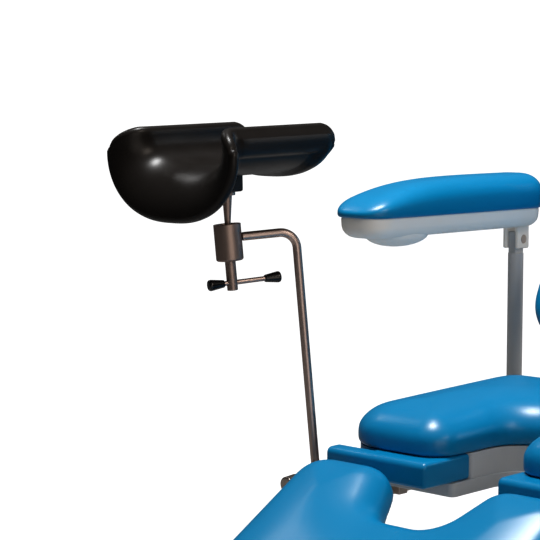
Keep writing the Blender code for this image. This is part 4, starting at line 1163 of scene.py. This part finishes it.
@dataclass
class LegPlate:
    """Leg frame with its hinge studs, and the notched leg cushion."""

    rear: float = -0.004
    front: float = 0.405
    width: float = 0.510
    low: float = 0.018
    corner: float = 0.070
    horn_corner: float = 0.8
    lip: float = 0.050
    notch_half: float = 0.100
    notch_floor: float = 0.058
    notch_depth: float = 0.105
    notch_corner: float = 0.050
    foam: Foam = Foam(thick=0.071, crown=0.039, dome=0.006, voxel=0.005, fall=0.28, fall_reach=0.12)
    frame_thick: float = 0.018
    frame_inset: float = 0.030
    frame_notch_gap: float = 0.015
    frame_corner: float = 0.040
    frame_ease: float = 0.002
    ear_x: float = 0.2103
    ear_thick: float = 0.010
    ear_radius: float = 0.012
    ear_flat: float = 0.001
    ear_ease: float = 0.0035
    ear_rear: float = 0.030
    arm_lap: float = 0.060
    arm_end: float = 0.014
    stud_start: float = 0.195
    stud_radius: float = 0.006

    def build(self) -> None:
        """Make the cushion and the frame."""
        place = STANCE.leg() @ Matrix.Translation((0, 0, self.low + SEAT_GAP))
        cushion = self.foam.pad(self.outline(), self.width, -self.front, self.rear)
        make("leg_cushion", cushion, BLUE_FOAM, place, FOAM_FILL)
        make("leg_frame", self.frame(), POWDER_COAT, STANCE.leg())

    def outline(self) -> list[Vector]:
        """The cushion's plan: its notch meets the seat's cut-out, and its horns reach up beside it.

        Returns:
            The outline's points.
        """
        half, notch, horn = self.width / 2, self.rear - self.notch_depth, self.corner * self.horn_corner
        return filleted([
            (-half, -self.front, self.corner), (half, -self.front, self.corner), (half, self.rear, horn),
            (self.notch_half, self.rear, self.lip), (self.notch_floor, notch, self.notch_corner),
            (-self.notch_floor, notch, self.notch_corner), (-self.notch_half, self.rear, self.lip),
            (-half, self.rear, horn),
        ])

    def frame(self) -> Shape:
        """The leg frame: a board with two arms up to its hinge studs.

        Returns:
            The frame.
        """
        notch = self.rear - self.notch_depth
        plan = rounded(self.width / 2 - self.frame_inset, self.frame_inset - self.front,
                       notch - self.frame_notch_gap, self.frame_corner)
        board = slab(plan, self.low - self.frame_thick, self.low, self.frame_ease)
        inner, outer, flat = self.ear_x, self.ear_x + self.ear_thick, self.ear_flat
        tall, stud_end = self.ear_radius - flat, self.ear_x + self.ear_thick / 2
        adds = []
        for side in Side:
            sign = side.value
            adds.append(box((inner, notch - self.arm_lap, -tall), (outer, -self.arm_end, self.low - flat),
                            self.frame_ease, sign))
            adds.append(box((inner, -self.ear_rear, -tall), (outer, tall, tall), self.ear_ease, sign))
            adds.append(bar((sign * self.stud_start, 0, 0), (sign * stud_end, 0, 0), self.stud_radius))
        return carved(board, adds)


@dataclass
class Armrest:
    """Armrest pad and shell, hinge pin, and the bent post that carries them from the seat frame."""

    side: Side
    width: float = 0.112
    corner: float = 0.047
    step: float = 0.010
    nose: float = -0.060
    rear: float = 0.425
    split: float = 0.058
    pad_nose: float = 0.018
    pad_rear: float = 0.062
    pad_curve: float = 5.2
    pad_foot: Profile = ((0.004, 0.0), (0.0022, 0.03), (0.0008, 0.09), (0.0, 0.18))
    pad_waist: float = 0.34
    pad_fullness: float = 0.85
    pad_steps: int = 16
    crown: float = 0.046
    shell_depth: float = 0.034
    shell_inset: float = 0.006
    shell_round: Profile = ((0.022, 0.0), (0.014, 0.0022), (0.008, 0.006), (0.003, 0.012), (0.0008, 0.019))
    shell_rim: Profile = ((0.0, 0.003), (0.001, 0.0))
    swell_y: float = 0.056
    swell: Corner = (0.080, 0.138, 0.018)
    swell_sink: float = 0.004
    swell_turns: tuple[float, ...] = (-0.5, -0.25, 0.0, 0.2, 0.4, 0.6, 0.8, 1.0, 1.2, 1.35, 1.47)
    swell_sides: int = 72
    lug_half: float = 0.009
    fork_thick: float = 0.008
    fork_lap: float = 0.010
    fork_ease: float = 0.003
    ear_radius: float = 0.017
    pin_radius: float = 0.008
    pin_ease: float = 0.001
    post_radius: float = 0.014
    post_bend: float = 0.040
    post_y: float = 0.225
    post_z: float = 0.697
    post_gap: float = 0.008
    tongue_half: float = 0.012
    tongue_span: tuple[float, float] = (-0.060, 0.014)
    frame_half: float = 0.255

    def build(self) -> None:
        """Make the pad, shell, pin and post."""
        place = STANCE.arm(self.side)
        make(self.side.named("arm_pad"), self.pad(), BLUE_FOAM, place, FOAM_FILL)
        make(self.side.named("arm_shell"), self.shell(), GREY_ABS, place)
        pin = cross_bar(self.lug_half + self.fork_thick + RUN_GAP, self.pin_radius, self.pin_ease)
        make(self.side.named("arm_pin"), pin, BRUSHED_STEEL, place)
        make(self.side.named("arm_post"), self.post(), POWDER_COAT, STANCE.chair())

    def ring(self, distance: float, height: Callable[[float], float]) -> list[Vector]:
        """The armrest's plan outline, moved in and raised.

        Args:
            distance: How far in it moves.
            height: The height for a place along the armrest.

        Returns:
            The ring, in the hinge's frame.
        """
        plan = rounded(self.width / 2, self.nose, self.rear, self.corner)
        outline = inset(resampled(plan, self.step), distance)
        return [Vector((p.x, p.y - STANCE.arm_axis[1], height(p.y))) for p in outline]

    def pad_height(self, y: float, share: float) -> float:
        """The height of the pad, low at the nose and full at the rear.

        Args:
            y: A place along the armrest.
            share: The share of the pad's thickness there.

        Returns:
            The height in the hinge's frame.
        """
        run = max(0.0, min(1.0, (y - self.nose) / (self.rear - self.nose)))
        full = 1 - (1 - run) ** self.pad_curve
        return self.split + SEAT_GAP + share * (self.pad_nose + (self.pad_rear - self.pad_nose) * full)

    def pad(self) -> Shape:
        """The pad: a long cushion, drawn in at its foot, rounded over and closed along the middle of its top.

        Returns:
            The pad.
        """
        levels = [*self.pad_foot, (0.0, self.pad_waist)]
        for k in range(1, self.pad_steps + 1):
            angle = math.pi / 2 * k / self.pad_steps
            share = self.pad_waist + (1 - self.pad_waist) * math.sin(angle) ** self.pad_fullness
            levels.append((self.crown * (1 - math.cos(angle) ** self.pad_fullness), share))
        rings = [self.ring(d, functools.partial(self.pad_height, share=share)) for d, share in levels]
        rings.append([Vector((0, p.y, p.z)) for p in rings[-1]])
        shape = loft(rings, capped=False)
        shape.verts.ensure_lookup_table()
        shape.faces.new(shape.verts[:len(rings[0])])
        bmesh.ops.remove_doubles(shape, verts=shape.verts, dist=MERGE)
        return shape

    def shell(self) -> Shape:
        """The shell under the pad, with its moulded swelling and the two cheeks of its hinge.

        Returns:
            The shell.
        """
        deep, lift = self.shell_depth, self.swell_sink
        levels = [*((d, deep - z) for d, z in self.shell_round), *self.shell_rim]
        body = loft([self.ring(self.shell_inset + d, lambda y, drop=z: self.split - drop) for d, z in levels])
        bowl = loft([circle(math.cos(a), -math.sin(a), self.swell_sides) for a in self.swell_turns])
        centre = Vector((0, self.swell_y - STANCE.arm_axis[1], self.split - deep + lift))
        wide, long, tall = self.swell
        bowl.transform(Matrix.Translation(centre) @ Matrix.Diagonal((wide / 2, long / 2, tall + lift, 1)))
        low, r, top = self.lug_half + RUN_GAP, self.ear_radius, self.split - deep + self.fork_lap
        cheeks = [box((low, -r, -r), (low + self.fork_thick, r, top), self.fork_ease, way) for way in (-1, 1)]
        bore = cross_bar(low + self.fork_thick + OVERCUT, self.pin_radius + RUN_GAP)
        return carved(body, [bowl, *cheeks], [bore])

    def post(self) -> Shape:
        """The bent tube post with its flattened tongue.

        Returns:
            The post.
        """
        sign, (x, y, z) = self.side.value, STANCE.arm_axis
        out, half, (low, high) = sign * x, self.tongue_half, self.tongue_span
        root, top = sign * (self.frame_half + SEAT_GAP), z - self.ear_radius - self.post_gap
        corners = [(root, self.post_y, self.post_z), (out, self.post_y, self.post_z), (out, y, self.post_z),
                   (out, y, top)]
        tongue = box((x - self.lug_half, y - half, z + low), (x + self.lug_half, y + half, z + high),
                     self.fork_ease, sign)
        bore = bar((sign * (x - THROUGH), y, z), (sign * (x + THROUGH), y, z), self.pin_radius + RUN_GAP, 0.0)
        return carved(bent_bar(corners, self.post_radius, self.post_bend), [tongue], [bore])


@dataclass
class Crutch:
    """The knee crutch: a trough whose front edge rolls over, on a block that takes the ball pin's flange."""

    half: float = 0.095
    rear: float = 0.152
    front: float = 0.118
    floor: float = 0.1030
    wall: float = 0.062
    thick: float = 0.017
    square: float = 0.72
    run_step: float = 0.004
    rear_round: float = 0.034
    rear_cut: float = 0.036
    rear_share: float = 0.80
    flare_floor: float = 0.073
    flare_wall: float = 0.046
    flare_ease: float = 0.12
    flare_angle: float = math.radians(84)
    flare_share: float = 0.86
    flare_hold: float = 0.3
    bead_width: float = 0.033
    bead_depth: float = 0.0070
    bead_fade: float = 0.5
    block_half: float = 0.019
    block_low: float = 0.0693
    block_ease: float = 0.004
    across: int = 84
    stations: int = 22
    station_crowd: float = 1.4
    flare_steps: int = 22
    rim_points: int = 5
    end_rings: int = 4
    end_turn: float = math.radians(82)
    end_draw: float = 0.03
    sharp: float = 50.0

    def point(self, across: float) -> Vector:
        """A point of the U section at a share across it.

        Args:
            across: The share from -1 to 1 across the section.

        Returns:
            The point.
        """
        angle = across * math.pi / 2
        x = math.copysign(abs(math.sin(angle)) ** self.square, angle) * self.half
        return Vector((x, 0, self.floor + self.wall * (1 - abs(math.cos(angle)) ** self.square)))

    def section(self, across: float) -> tuple[Vector, Vector, Vector]:
        """A point of the U section and its directions.

        Args:
            across: The share from -1 to 1 across the section.

        Returns:
            The point, its outward normal and the direction across.
        """
        low, high = max(-1.0, across - self.run_step), min(1.0, across + self.run_step)
        run = (self.point(high) - self.point(low)).normalized()
        return self.point(across), Vector((run.z, 0, -run.x)), run

    def ring(self, y: float, flare: float, share: float, swell: float = 1.0, push: float = 0.0) -> list[Vector]:
        """A closed ring round the crutch's wall at one station.

        Args:
            y: The share from the rear end to where the front edge starts to roll over.
            flare: How far the edge has rolled over, or less than none before it does.
            share: How far up the walls the ring reaches.
            swell: The wall's share of its full thickness.
            push: How far the ring is moved along the wall.

        Returns:
            The inner face, a rim, the outer face and the other rim.
        """
        inner, outer, rims = [], [], []
        half = self.thick / 2 * swell
        top = self.point(share).z
        bead = self.bead_depth * swell * max(0.0, 1 - max(0.0, flare) / self.bead_fade)
        for i in range(self.across + 1):
            across = share * (2 * i / self.across - 1)
            place, out, run = self.section(across)
            radius = self.flare_floor + (self.flare_wall - self.flare_floor) * across ** 2
            turn = 1 - self.flare_ease * across ** 2
            angle = max(0.0, flare) * turn
            begin = radius * math.sin(self.flare_angle * turn) - self.front
            rear = self.rear - self.rear_cut * (1 - across ** 2)
            depth = begin - radius * math.sin(angle) if flare >= 0 else rear + (begin - rear) * y
            past = math.hypot(max(0.0, self.bead_width + depth - rear),
                              max(0.0, self.bead_width - top + place.z))
            bulge = bead * math.sqrt(max(0.0, 1 - (1 - 2 * past / self.bead_width) ** 2))
            place = place + out * radius * (1 - math.cos(angle)) + Vector((0, depth, 0))
            normal = out * math.cos(angle) + Vector((0, math.sin(angle), 0))
            place += (Vector((0, -math.cos(angle), 0)) + out * math.sin(angle)) * push
            inner.append(place - normal * half)
            outer.append(place + normal * (half + bulge))
            if i in (0, self.across):
                bends = [math.pi * k / (self.rim_points + 1) for k in range(1, self.rim_points + 1)]
                rims.append([place - normal * half * math.cos(bend)
                             + run * math.copysign(half * math.sin(bend), across) for bend in bends])
        return [*inner, *rims[1], *reversed(outer), *reversed(rims[0])]

    def build(self, node: str, place: Matrix) -> None:
        """Make the crutch for one side.

        Args:
            node: The node that it stands for.
            place: The ball's frame.
        """
        low = self.rear_share
        rings = [self.end(0, -1, low, part, -1) for part in range(self.end_rings, 0, -1)]
        for k in range(self.stations):
            y = (k / self.stations) ** self.station_crowd
            back = max(0.0, 1 - y * (self.rear + self.front / 2) / self.rear_round)
            rings.append(self.ring(y, -1, low + (1 - low) * math.sqrt(1 - back ** 2)))
        low = self.flare_share
        for k in range(self.flare_steps + 1):
            part = math.sin(math.pi / 2 * k / self.flare_steps)
            front = max(0.0, part - self.flare_hold) / (1 - self.flare_hold)
            full = low + (1 - low) * math.sqrt(max(0.0, 1 - front ** 2))
            rings.append(self.ring(0, part * self.flare_angle, full))
        rings += [self.end(0, self.flare_angle, low, part, 1) for part in range(1, self.end_rings + 1)]
        shell = loft(rings, capped=False)
        self.cap(shell, 0)
        self.cap(shell, len(rings) - 1)
        half = self.block_half
        block = box((-half, -half, self.block_low), (half, half, self.floor), self.block_ease)
        make(node, carved(shell, [block]), BLACK_FOAM, place, sharp=self.sharp)

    def end(self, y: float, flare: float, share: float, part: int, way: int) -> list[Vector]:
        """One of the rings that round off an end of the wall.

        Args:
            y: The end's share along the crutch.
            flare: How far the edge has rolled over there.
            share: How far up the walls the end reaches.
            part: Which of the end's rings, counted from the wall.
            way: Which way along the wall the end lies.

        Returns:
            The ring.
        """
        angle = self.end_turn * part / self.end_rings
        drawn = share - self.end_draw * (1 - math.cos(angle))
        return self.ring(y, flare, drawn, math.cos(angle), way * self.thick / 2 * math.sin(angle))

    def cap(self, shell: Shape, number: int) -> None:
        """Close an end of the wall with a strip between its two faces.

        Args:
            shell: The crutch's wall, which is changed.
            number: The number of the ring to close.
        """
        n, rim = self.across, self.rim_points
        count = 2 * (n + 1 + rim)
        shell.verts.ensure_lookup_table()
        loop = shell.verts[number * count:(number + 1) * count]
        outer = list(reversed(loop[n + 1 + rim:2 * n + 2 + rim]))
        for i in range(n):
            shell.faces.new((loop[i], loop[i + 1], outer[i + 1], outer[i]))
        shell.faces.new((*loop[n:n + 1 + rim], outer[n]))
        shell.faces.new((outer[0], *loop[2 * n + 2 + rim:], loop[0]))


@dataclass
class CrutchStand:
    """One crutch stand: the rail clamp and its screw, the bush, the rod, the ball clamp and its tee screw."""

    side: Side
    rail_x: float = 0.294
    rail_z: float = 0.630
    rail_size: tuple[float, float] = (0.010, 0.030)
    rod_radius: float = 0.0070
    rod_below: float = 0.095
    rod_above: float = 0.416
    rod_bend: float = 0.026
    rod_reach: float = 0.108
    toe_out: float = math.radians(36)
    bush_wall: float = 0.0030
    bush_flange: float = 0.0150
    bush_rim: float = 0.003
    sleeve_radius: float = 0.0170
    sleeve_span: tuple[float, float] = (-0.034, 0.036)
    sleeve_ease: float = 0.0015
    jaw_half: float = 0.025
    jaw_wall: float = 0.007
    jaw_lip: float = 0.006
    jaw_end: float = -0.006
    jaw_ease: float = 0.0025
    screw_z: float = 0.022
    screw_radius: float = 0.005
    screw_lap: float = 0.004
    head_span: tuple[float, float] = (0.045, 0.071)
    head_radius: float = 0.0135
    head_ease: float = 0.0025
    cross_radius: float = 0.0035
    cross_half: float = 0.026
    cross_ease: float = 0.0012
    ball_above: float = 0.003
    ball_radius: float = 0.0130
    ball_gap: float = 0.0004
    clamp_radius: float = 0.0217
    clamp_span: tuple[float, float] = (-0.0390, 0.0190)
    clamp_foot: float = 0.0023
    clamp_ease: float = 0.0008
    clamp_sides: int = 72
    mouth_radius: float = 0.0116
    mouth_top: float = 0.0170
    mouth_steps: int = 6
    cup_thick: float = 0.0050
    cup_rim: float = -0.004
    cup_foot: float = 0.3
    cup_ease: float = 0.0003
    cup_turns: range = range(24, 86, 6)
    neck: tuple[float, float] = (0.0045, 0.0078)
    neck_sink: float = 0.004
    neck_top: float = 0.0640
    ball_turns: range = range(-84, 61, 8)
    flange: tuple[float, float] = (0.0130, 0.0050)
    tee_radius: float = 0.0085
    tee_end: float = 0.0860
    tee_hole: float = 0.0740
    tee_ease: float = 0.0014
    bar_radius: float = 0.0040
    bar_half: float = 0.0491
    bar_offset: float = 0.0210
    bar_turn: float = math.radians(66)
    knob_length: float = 0.0270
    knob_grip: float = 0.0150
    knob_radius: float = 0.0092
    knob_neck: float = 0.0058
    knob_full: float = 0.86
    knob_round: tuple[float, float] = (0.001, 0.003)
    knob_ease: float = 0.002
    crutch_nod: float = math.radians(2.2)

    def build(self) -> None:
        """Make the stand from the rail up to the crutch."""
        slide = STANCE.stand(self.side)
        lean = STANCE.lean(self.side)
        self.rail_clamp(slide, lean)
        rod = slide @ lean
        ball = rod @ Matrix.Translation(self.rod(rod))
        upright = Matrix.Rotation(-self.side.value * STANCE.lean_out, 4, "Y")
        level = upright @ Matrix.Rotation(-self.crutch_nod, 4, "X")
        self.ball_clamp(ball, level)
        self.tee(ball)
        Crutch().build(self.side.named("crutch"), ball @ level)

    def rail_clamp(self, slide: Matrix, lean: Matrix) -> None:
        """Make the jaw round the rail with its leaning sleeve, and the screw with its cross bar.

        Args:
            slide: The clamp's frame.
            lean: The rod's lean in it.
        """
        sign, (x, _, z) = self.side.value, STANCE.stand_foot
        inner = self.rail_x - self.rail_size[0] / 2 - RUN_GAP - x
        outer = self.rail_x + self.rail_size[0] / 2 + RUN_GAP - x
        middle, tall, lip = self.rail_z - z, self.rail_size[1] / 2 + RUN_GAP, self.jaw_lip
        jaw = box((inner - lip, -self.jaw_half, middle - tall - self.jaw_wall),
                  (self.jaw_end, self.jaw_half, middle + tall + self.jaw_wall), self.jaw_ease, sign)
        low, high = self.sleeve_span
        bush = self.rod_radius + self.bush_wall + 2 * RUN_GAP
        sleeve = bar((0, 0, low), (0, 0, high), self.sleeve_radius, self.sleeve_ease)
        bore = bar((0, 0, low - 2 * OVERCUT), (0, 0, high + 2 * OVERCUT), bush, 0.0)
        thread = bar((0, -THROUGH, self.screw_z), (0, 0, self.screw_z), self.screw_radius + RUN_GAP, 0.0)
        for leaning in (sleeve, bore, thread):
            leaning.transform(lean)
        slot = box((inner, -THROUGH, middle - tall), (outer, THROUGH, middle + tall), 0.0, sign)
        tall -= lip
        mouth = box((inner - THROUGH, -THROUGH, middle - tall), (outer, THROUGH, middle + tall), 0.0, sign)
        clamp = carved(jaw, [sleeve], [slot, mouth, bore, thread])
        make(self.side.named("rail_clamp"), clamp, BRUSHED_STEEL, slide)
        near, far = self.head_span
        stem = bar((0, -bush - RUN_GAP, 0), (0, -near - self.screw_lap, 0), self.screw_radius)
        head = turned([(self.head_radius, near), (self.head_radius, far)], self.head_ease)
        head.transform(Matrix.Rotation(math.pi / 2, 4, "X"))
        tip = Vector((sign * math.sqrt(0.5), 0, -math.sqrt(0.5))) * self.cross_half
        centre = Vector((0, -(near + far) / 2, 0))
        cross = bar(centre - tip, centre + tip, self.cross_radius, self.cross_ease)
        place = slide @ lean @ Matrix.Translation((0, 0, self.screw_z))
        make(self.side.named("rail_screw"), carved(stem, [head, cross]), BRUSHED_STEEL, place)

    def rod(self, place: Matrix) -> Vector:
        """Make the nylon bush and the bent rod that slides in it.

        Args:
            place: The rod's frame.

        Returns:
            The ball's centre in that frame.
        """
        low, high = self.sleeve_span
        inner, flange = self.rod_radius + RUN_GAP, self.bush_flange
        outer, top = inner + self.bush_wall, high + RUN_GAP
        rim = top + self.bush_rim
        section = [(inner, low), (outer, low), (outer, top), (flange, top), (flange, rim), (inner, rim)]
        make(self.side.named("rod_bush"), turned_hollow(section), NYLON, place)
        way = Vector((self.side.value * math.sin(self.toe_out), -math.cos(self.toe_out), 0))
        peak = Vector((0, 0, self.rod_above))
        end = peak + way * (self.rod_reach - self.clamp_radius - SEAT_GAP)
        rod = bent_bar([(0, 0, -self.rod_below), peak, end], self.rod_radius, self.rod_bend)
        make(self.side.named("leg_rod"), rod, DRAWN_STEEL, place)
        return peak + way * self.rod_reach + Vector((0, 0, self.ball_above))

    def cup_floor(self) -> float:
        """The height of the clamp's floor under the cup, from the ball's centre."""
        return -self.ball_radius - self.cup_thick - 2 * RUN_GAP

    def ball_clamp(self, ball: Matrix, level: Matrix) -> None:
        """Make the clamp cylinder with its round mouth, the cup that turns in it, and the ball pin.

        Args:
            ball: The ball's frame, along the rod.
            level: How the pin stands in it.
        """
        room, deep, hole = self.ball_radius + self.ball_gap, self.cup_floor(), self.tee_radius + RUN_GAP
        edge, steps = math.acos(self.mouth_radius / room), self.mouth_steps
        (low, high), wide, foot = self.clamp_span, self.clamp_radius, self.clamp_foot
        profile = [(hole, low), (wide - foot, low), (wide, low + foot), (wide, high), (self.mouth_top, high)]
        turns = [edge * part / steps for part in range(steps, -1, -1)]
        profile += [(room * math.cos(turn), room * math.sin(turn)) for turn in turns]
        profile += [(room, deep), (hole, deep)]
        clamp = turned_hollow(profile, self.clamp_ease, self.clamp_sides)
        make(self.side.named("ball_clamp"), clamp, TURNED_STEEL, ball)
        wall, foot = room - RUN_GAP, deep + RUN_GAP
        dish = [(wall * self.cup_foot, foot), (wall, foot), (wall, self.cup_rim)]
        turns = [math.radians(degrees) for degrees in self.cup_turns]
        dish += [(room * math.cos(turn), -room * math.sin(turn) - RUN_GAP) for turn in turns]
        make(self.side.named("ball_cup"), turned(dish, self.cup_ease), NYLON, ball)
        radius, top, (flange, thick) = self.ball_radius, self.neck_top, self.flange
        turns = [math.radians(degrees) for degrees in self.ball_turns]
        pin = [(radius * math.cos(turn), radius * math.sin(turn)) for turn in turns]
        pin += [(self.neck[0], high - self.neck_sink), (self.neck[1], top), (flange, top),
                (flange, top + thick)]
        make(self.side.named("ball_pin"), turned(pin), TURNED_STEEL, ball @ level)

    def tee(self, ball: Matrix) -> None:
        """Make the clamp screw under the cylinder, and the bar with two knobs that slides through it.

        Args:
            ball: The ball's frame, along the rod.
        """
        screw = turned([(self.tee_radius, -self.tee_end), (self.tee_radius, self.cup_floor())], self.tee_ease)
        way = Vector((self.side.value * -math.cos(self.bar_turn), math.sin(self.bar_turn), 0))
        high, reach = Vector((0, 0, -self.tee_hole)), way * 2 * OVERCUT
        hole = bar(high - reach, high + reach, self.bar_radius + RUN_GAP, 0.0)
        make(self.side.named("clamp_screw"), carved(screw, cuts=[hole]), TURNED_STEEL, ball)
        place = ball @ Matrix.Translation(high)
        middle, half = way * self.bar_offset, way * self.bar_half
        slider = bar(middle - half, middle + half, self.bar_radius)
        make(self.side.named("clamp_bar"), slider, DRAWN_STEEL, place)
        wide, long, (ease, drop) = self.knob_radius, self.knob_length, self.knob_round
        section = [(self.knob_neck, 0.0), (wide, long * self.knob_full), (wide - ease, long - ease),
                   (wide - drop, long)]
        for name, out in (("bar_knob_front", -way), ("bar_knob_rear", way)):
            start = middle + out * (self.bar_half - self.knob_grip)
            knob = turned(section, self.knob_ease)
            knob.transform(along(start, start + out))
            end = middle + out * (self.bar_half + SEAT_GAP)
            bore = bar(start - out * OVERCUT, end, self.bar_radius + SEAT_GAP, 0.0)
            make(self.side.named(name), carved(knob, cuts=[bore]), BLACK_PHENOLIC, place)


@dataclass(frozen=True)
class Softbox:
    """A square studio light."""

    name: str
    place: Corner
    size: float
    watts: float
    colour: str = "#ffffff"
    target: Corner = (-0.2, -0.1, 0.9)

    def hang(self) -> None:
        """Add the light to the scene, aimed at its target."""
        data = bpy.data.lights.new(self.name, "AREA")
        data.shape = "SQUARE"
        data.size = self.size
        data.energy = self.watts
        data.color = linear(self.colour)[:3]
        lamp = bpy.data.objects.new(self.name, data)
        bpy.context.scene.collection.objects.link(lamp)
        lamp.location = self.place
        lamp.visible_camera = False
        lamp.rotation_euler = (Vector(self.target) - Vector(self.place)).to_track_quat("-Z", "Y").to_euler()


@dataclass
class Studio:
    """Floor, soft light and the camera at the photograph's angle."""

    floor_half: float = 60.0
    floor_cells: int = 8
    camera: Corner = (1.543, -2.2522, 1.262)
    heading: float = math.radians(44)
    drop_px: float = 170
    lens_px: float = 1759
    picture_px: float = 540
    sensor_mm: float = 36.0
    clip_end: float = 200.0
    horizon: float = 0.04
    zenith: float = 0.20
    sky_start: float = 0.1
    backdrop: float = 0.95
    floor_glow: float = 0.87
    floor_near: float = 0.36
    floor_sweep: tuple[float, float] = (0.8, 3.2)
    floor_shown: float = 0.46
    floor_bounce: float = 0.50
    softboxes: tuple[Softbox, ...] = (
        Softbox("key_softbox", (-0.25, -0.25, 3.2), 0.6, 65),
        Softbox("side_softbox", (-2.6, 0.0, 3.2), 0.6, 5),
        Softbox("right_softbox", (3.0, -0.6, 3.0), 1.4, 30, "#fff1e4"),
        Softbox("rear_softbox", (2.4, 3.8, 1.8), 2.0, 34, target=(0.0, 0.2, 0.9)),
        Softbox("low_softbox", (3.4, -1.9, 0.9), 2.6, 27, "#fff4ea"),
    )

    def floor_paint(self) -> bpy.types.Material:
        """Build the floor's surface.

        Returns:
            A pale matt floor that glows to the camera: faintly near the chair, where it still takes shadows, and
            more strongly further off, so that it runs into the backdrop. To the chair it is a plain mid grey.
        """
        made = bpy.data.materials.new("pale_matt_floor")
        made.use_nodes = True
        tree = made.node_tree
        tree.nodes.clear()
        seen = add_node(tree, "ShaderNodeLightPath").outputs["Is Camera Ray"]
        place = add_node(tree, "ShaderNodeTexCoord").outputs["Object"]
        away = add_node(tree, "ShaderNodeVectorMath", {"operation": "LENGTH"}, {0: place}).outputs["Value"]
        # Painted glow for the camera only: faint near the chair, full further off.
        sweep = add_node(tree, "ShaderNodeMapRange",
                         {"From Min": self.floor_sweep[0], "From Max": self.floor_sweep[1],
                          "To Min": self.floor_near, "To Max": self.floor_glow}, {"Value": away}).outputs[0]
        glow = add_node(tree, "ShaderNodeEmission", {"Color": WHITE}, {"Strength": sweep}).outputs[0]
        shown = add_node(tree, "ShaderNodeBsdfDiffuse", {"Color": (*[self.floor_shown] * 3, 1.0)}).outputs[0]
        bounce = add_node(tree, "ShaderNodeBsdfDiffuse", {"Color": (*[self.floor_bounce] * 3, 1.0)}).outputs[0]
        pale = add_node(tree, "ShaderNodeAddShader", links={0: glow, 1: shown}).outputs[0]
        both = add_node(tree, "ShaderNodeMixShader", links={0: seen, 1: bounce, 2: pale}).outputs[0]
        add_node(tree, "ShaderNodeOutputMaterial", links={"Surface": both})
        return made

    def sky(self) -> bpy.types.World:
        """Build the studio's surroundings.

        Returns:
            A world that is dim overhead and dark at the horizon, behind a plain pale backdrop.
        """
        world = bpy.data.worlds.new("studio_sky")
        world.use_nodes = True
        tree = world.node_tree
        tree.nodes.clear()
        seen = add_node(tree, "ShaderNodeLightPath").outputs["Is Camera Ray"]
        space = add_node(tree, "ShaderNodeTexCoord").outputs["Generated"]
        height = add_node(tree, "ShaderNodeSeparateXYZ", links={"Vector": space}).outputs["Z"]
        bright = add_node(tree, "ShaderNodeMapRange",
                          {"From Min": self.sky_start, "To Min": self.horizon, "To Max": self.zenith},
                          {"Value": height}).outputs[0]
        ceiling = add_node(tree, "ShaderNodeBackground", {"Color": WHITE}, {"Strength": bright}).outputs[0]
        plain = add_node(tree, "ShaderNodeBackground", {"Color": WHITE, "Strength": self.backdrop}).outputs[0]
        both = add_node(tree, "ShaderNodeMixShader", links={0: seen, 1: ceiling, 2: plain}).outputs[0]
        add_node(tree, "ShaderNodeOutputWorld", links={"Surface": both})
        return world

    def lay_floor(self) -> None:
        """Lay the floor."""
        shape, cells = bmesh.new(), self.floor_cells
        bmesh.ops.create_grid(shape, x_segments=cells, y_segments=cells, size=self.floor_half)
        mesh = bpy.data.meshes.new("studio_floor")
        shape.to_mesh(mesh)
        shape.free()
        mesh.materials.append(self.floor_paint())
        floor = bpy.data.objects.new("studio_floor", mesh)
        bpy.context.scene.collection.objects.link(floor)

    def set_camera(self) -> None:
        """Set the camera where the photograph was taken from."""
        data = bpy.data.cameras.new("photo_camera")
        data.sensor_width = self.sensor_mm
        data.lens = self.sensor_mm * self.lens_px / self.picture_px
        data.clip_end = self.clip_end
        camera = bpy.data.objects.new("photo_camera", data)
        bpy.context.scene.collection.objects.link(camera)
        camera.location = self.camera
        pitch = math.atan(self.drop_px / self.lens_px)
        level = math.cos(pitch)
        look = Vector((-math.sin(self.heading) * level, math.cos(self.heading) * level, -math.sin(pitch)))
        camera.rotation_euler = look.to_track_quat("-Z", "Y").to_euler()
        bpy.context.scene.camera = camera

    def build(self) -> None:
        """Lay the floor, light the scene and set the camera."""
        scene = bpy.context.scene
        scene.view_settings.view_transform = "Standard"
        scene.view_settings.look = "Medium High Contrast"
        self.lay_floor()
        scene.world = self.sky()
        for softbox in self.softboxes:
            softbox.hang()
        self.set_camera()


def main() -> None:
    """Build the chair from the base up, then the studio."""
    logging.basicConfig(level=logging.INFO, format="%(name)s: %(message)s")
    Base().build()
    Column().build()
    Seat().build()
    Backrest().build()
    LegPlate().build()
    for side in Side:
        Armrest(side).build()
        CrutchStand(side).build()
    Studio().build()


if __name__ == "__main__":
    main()
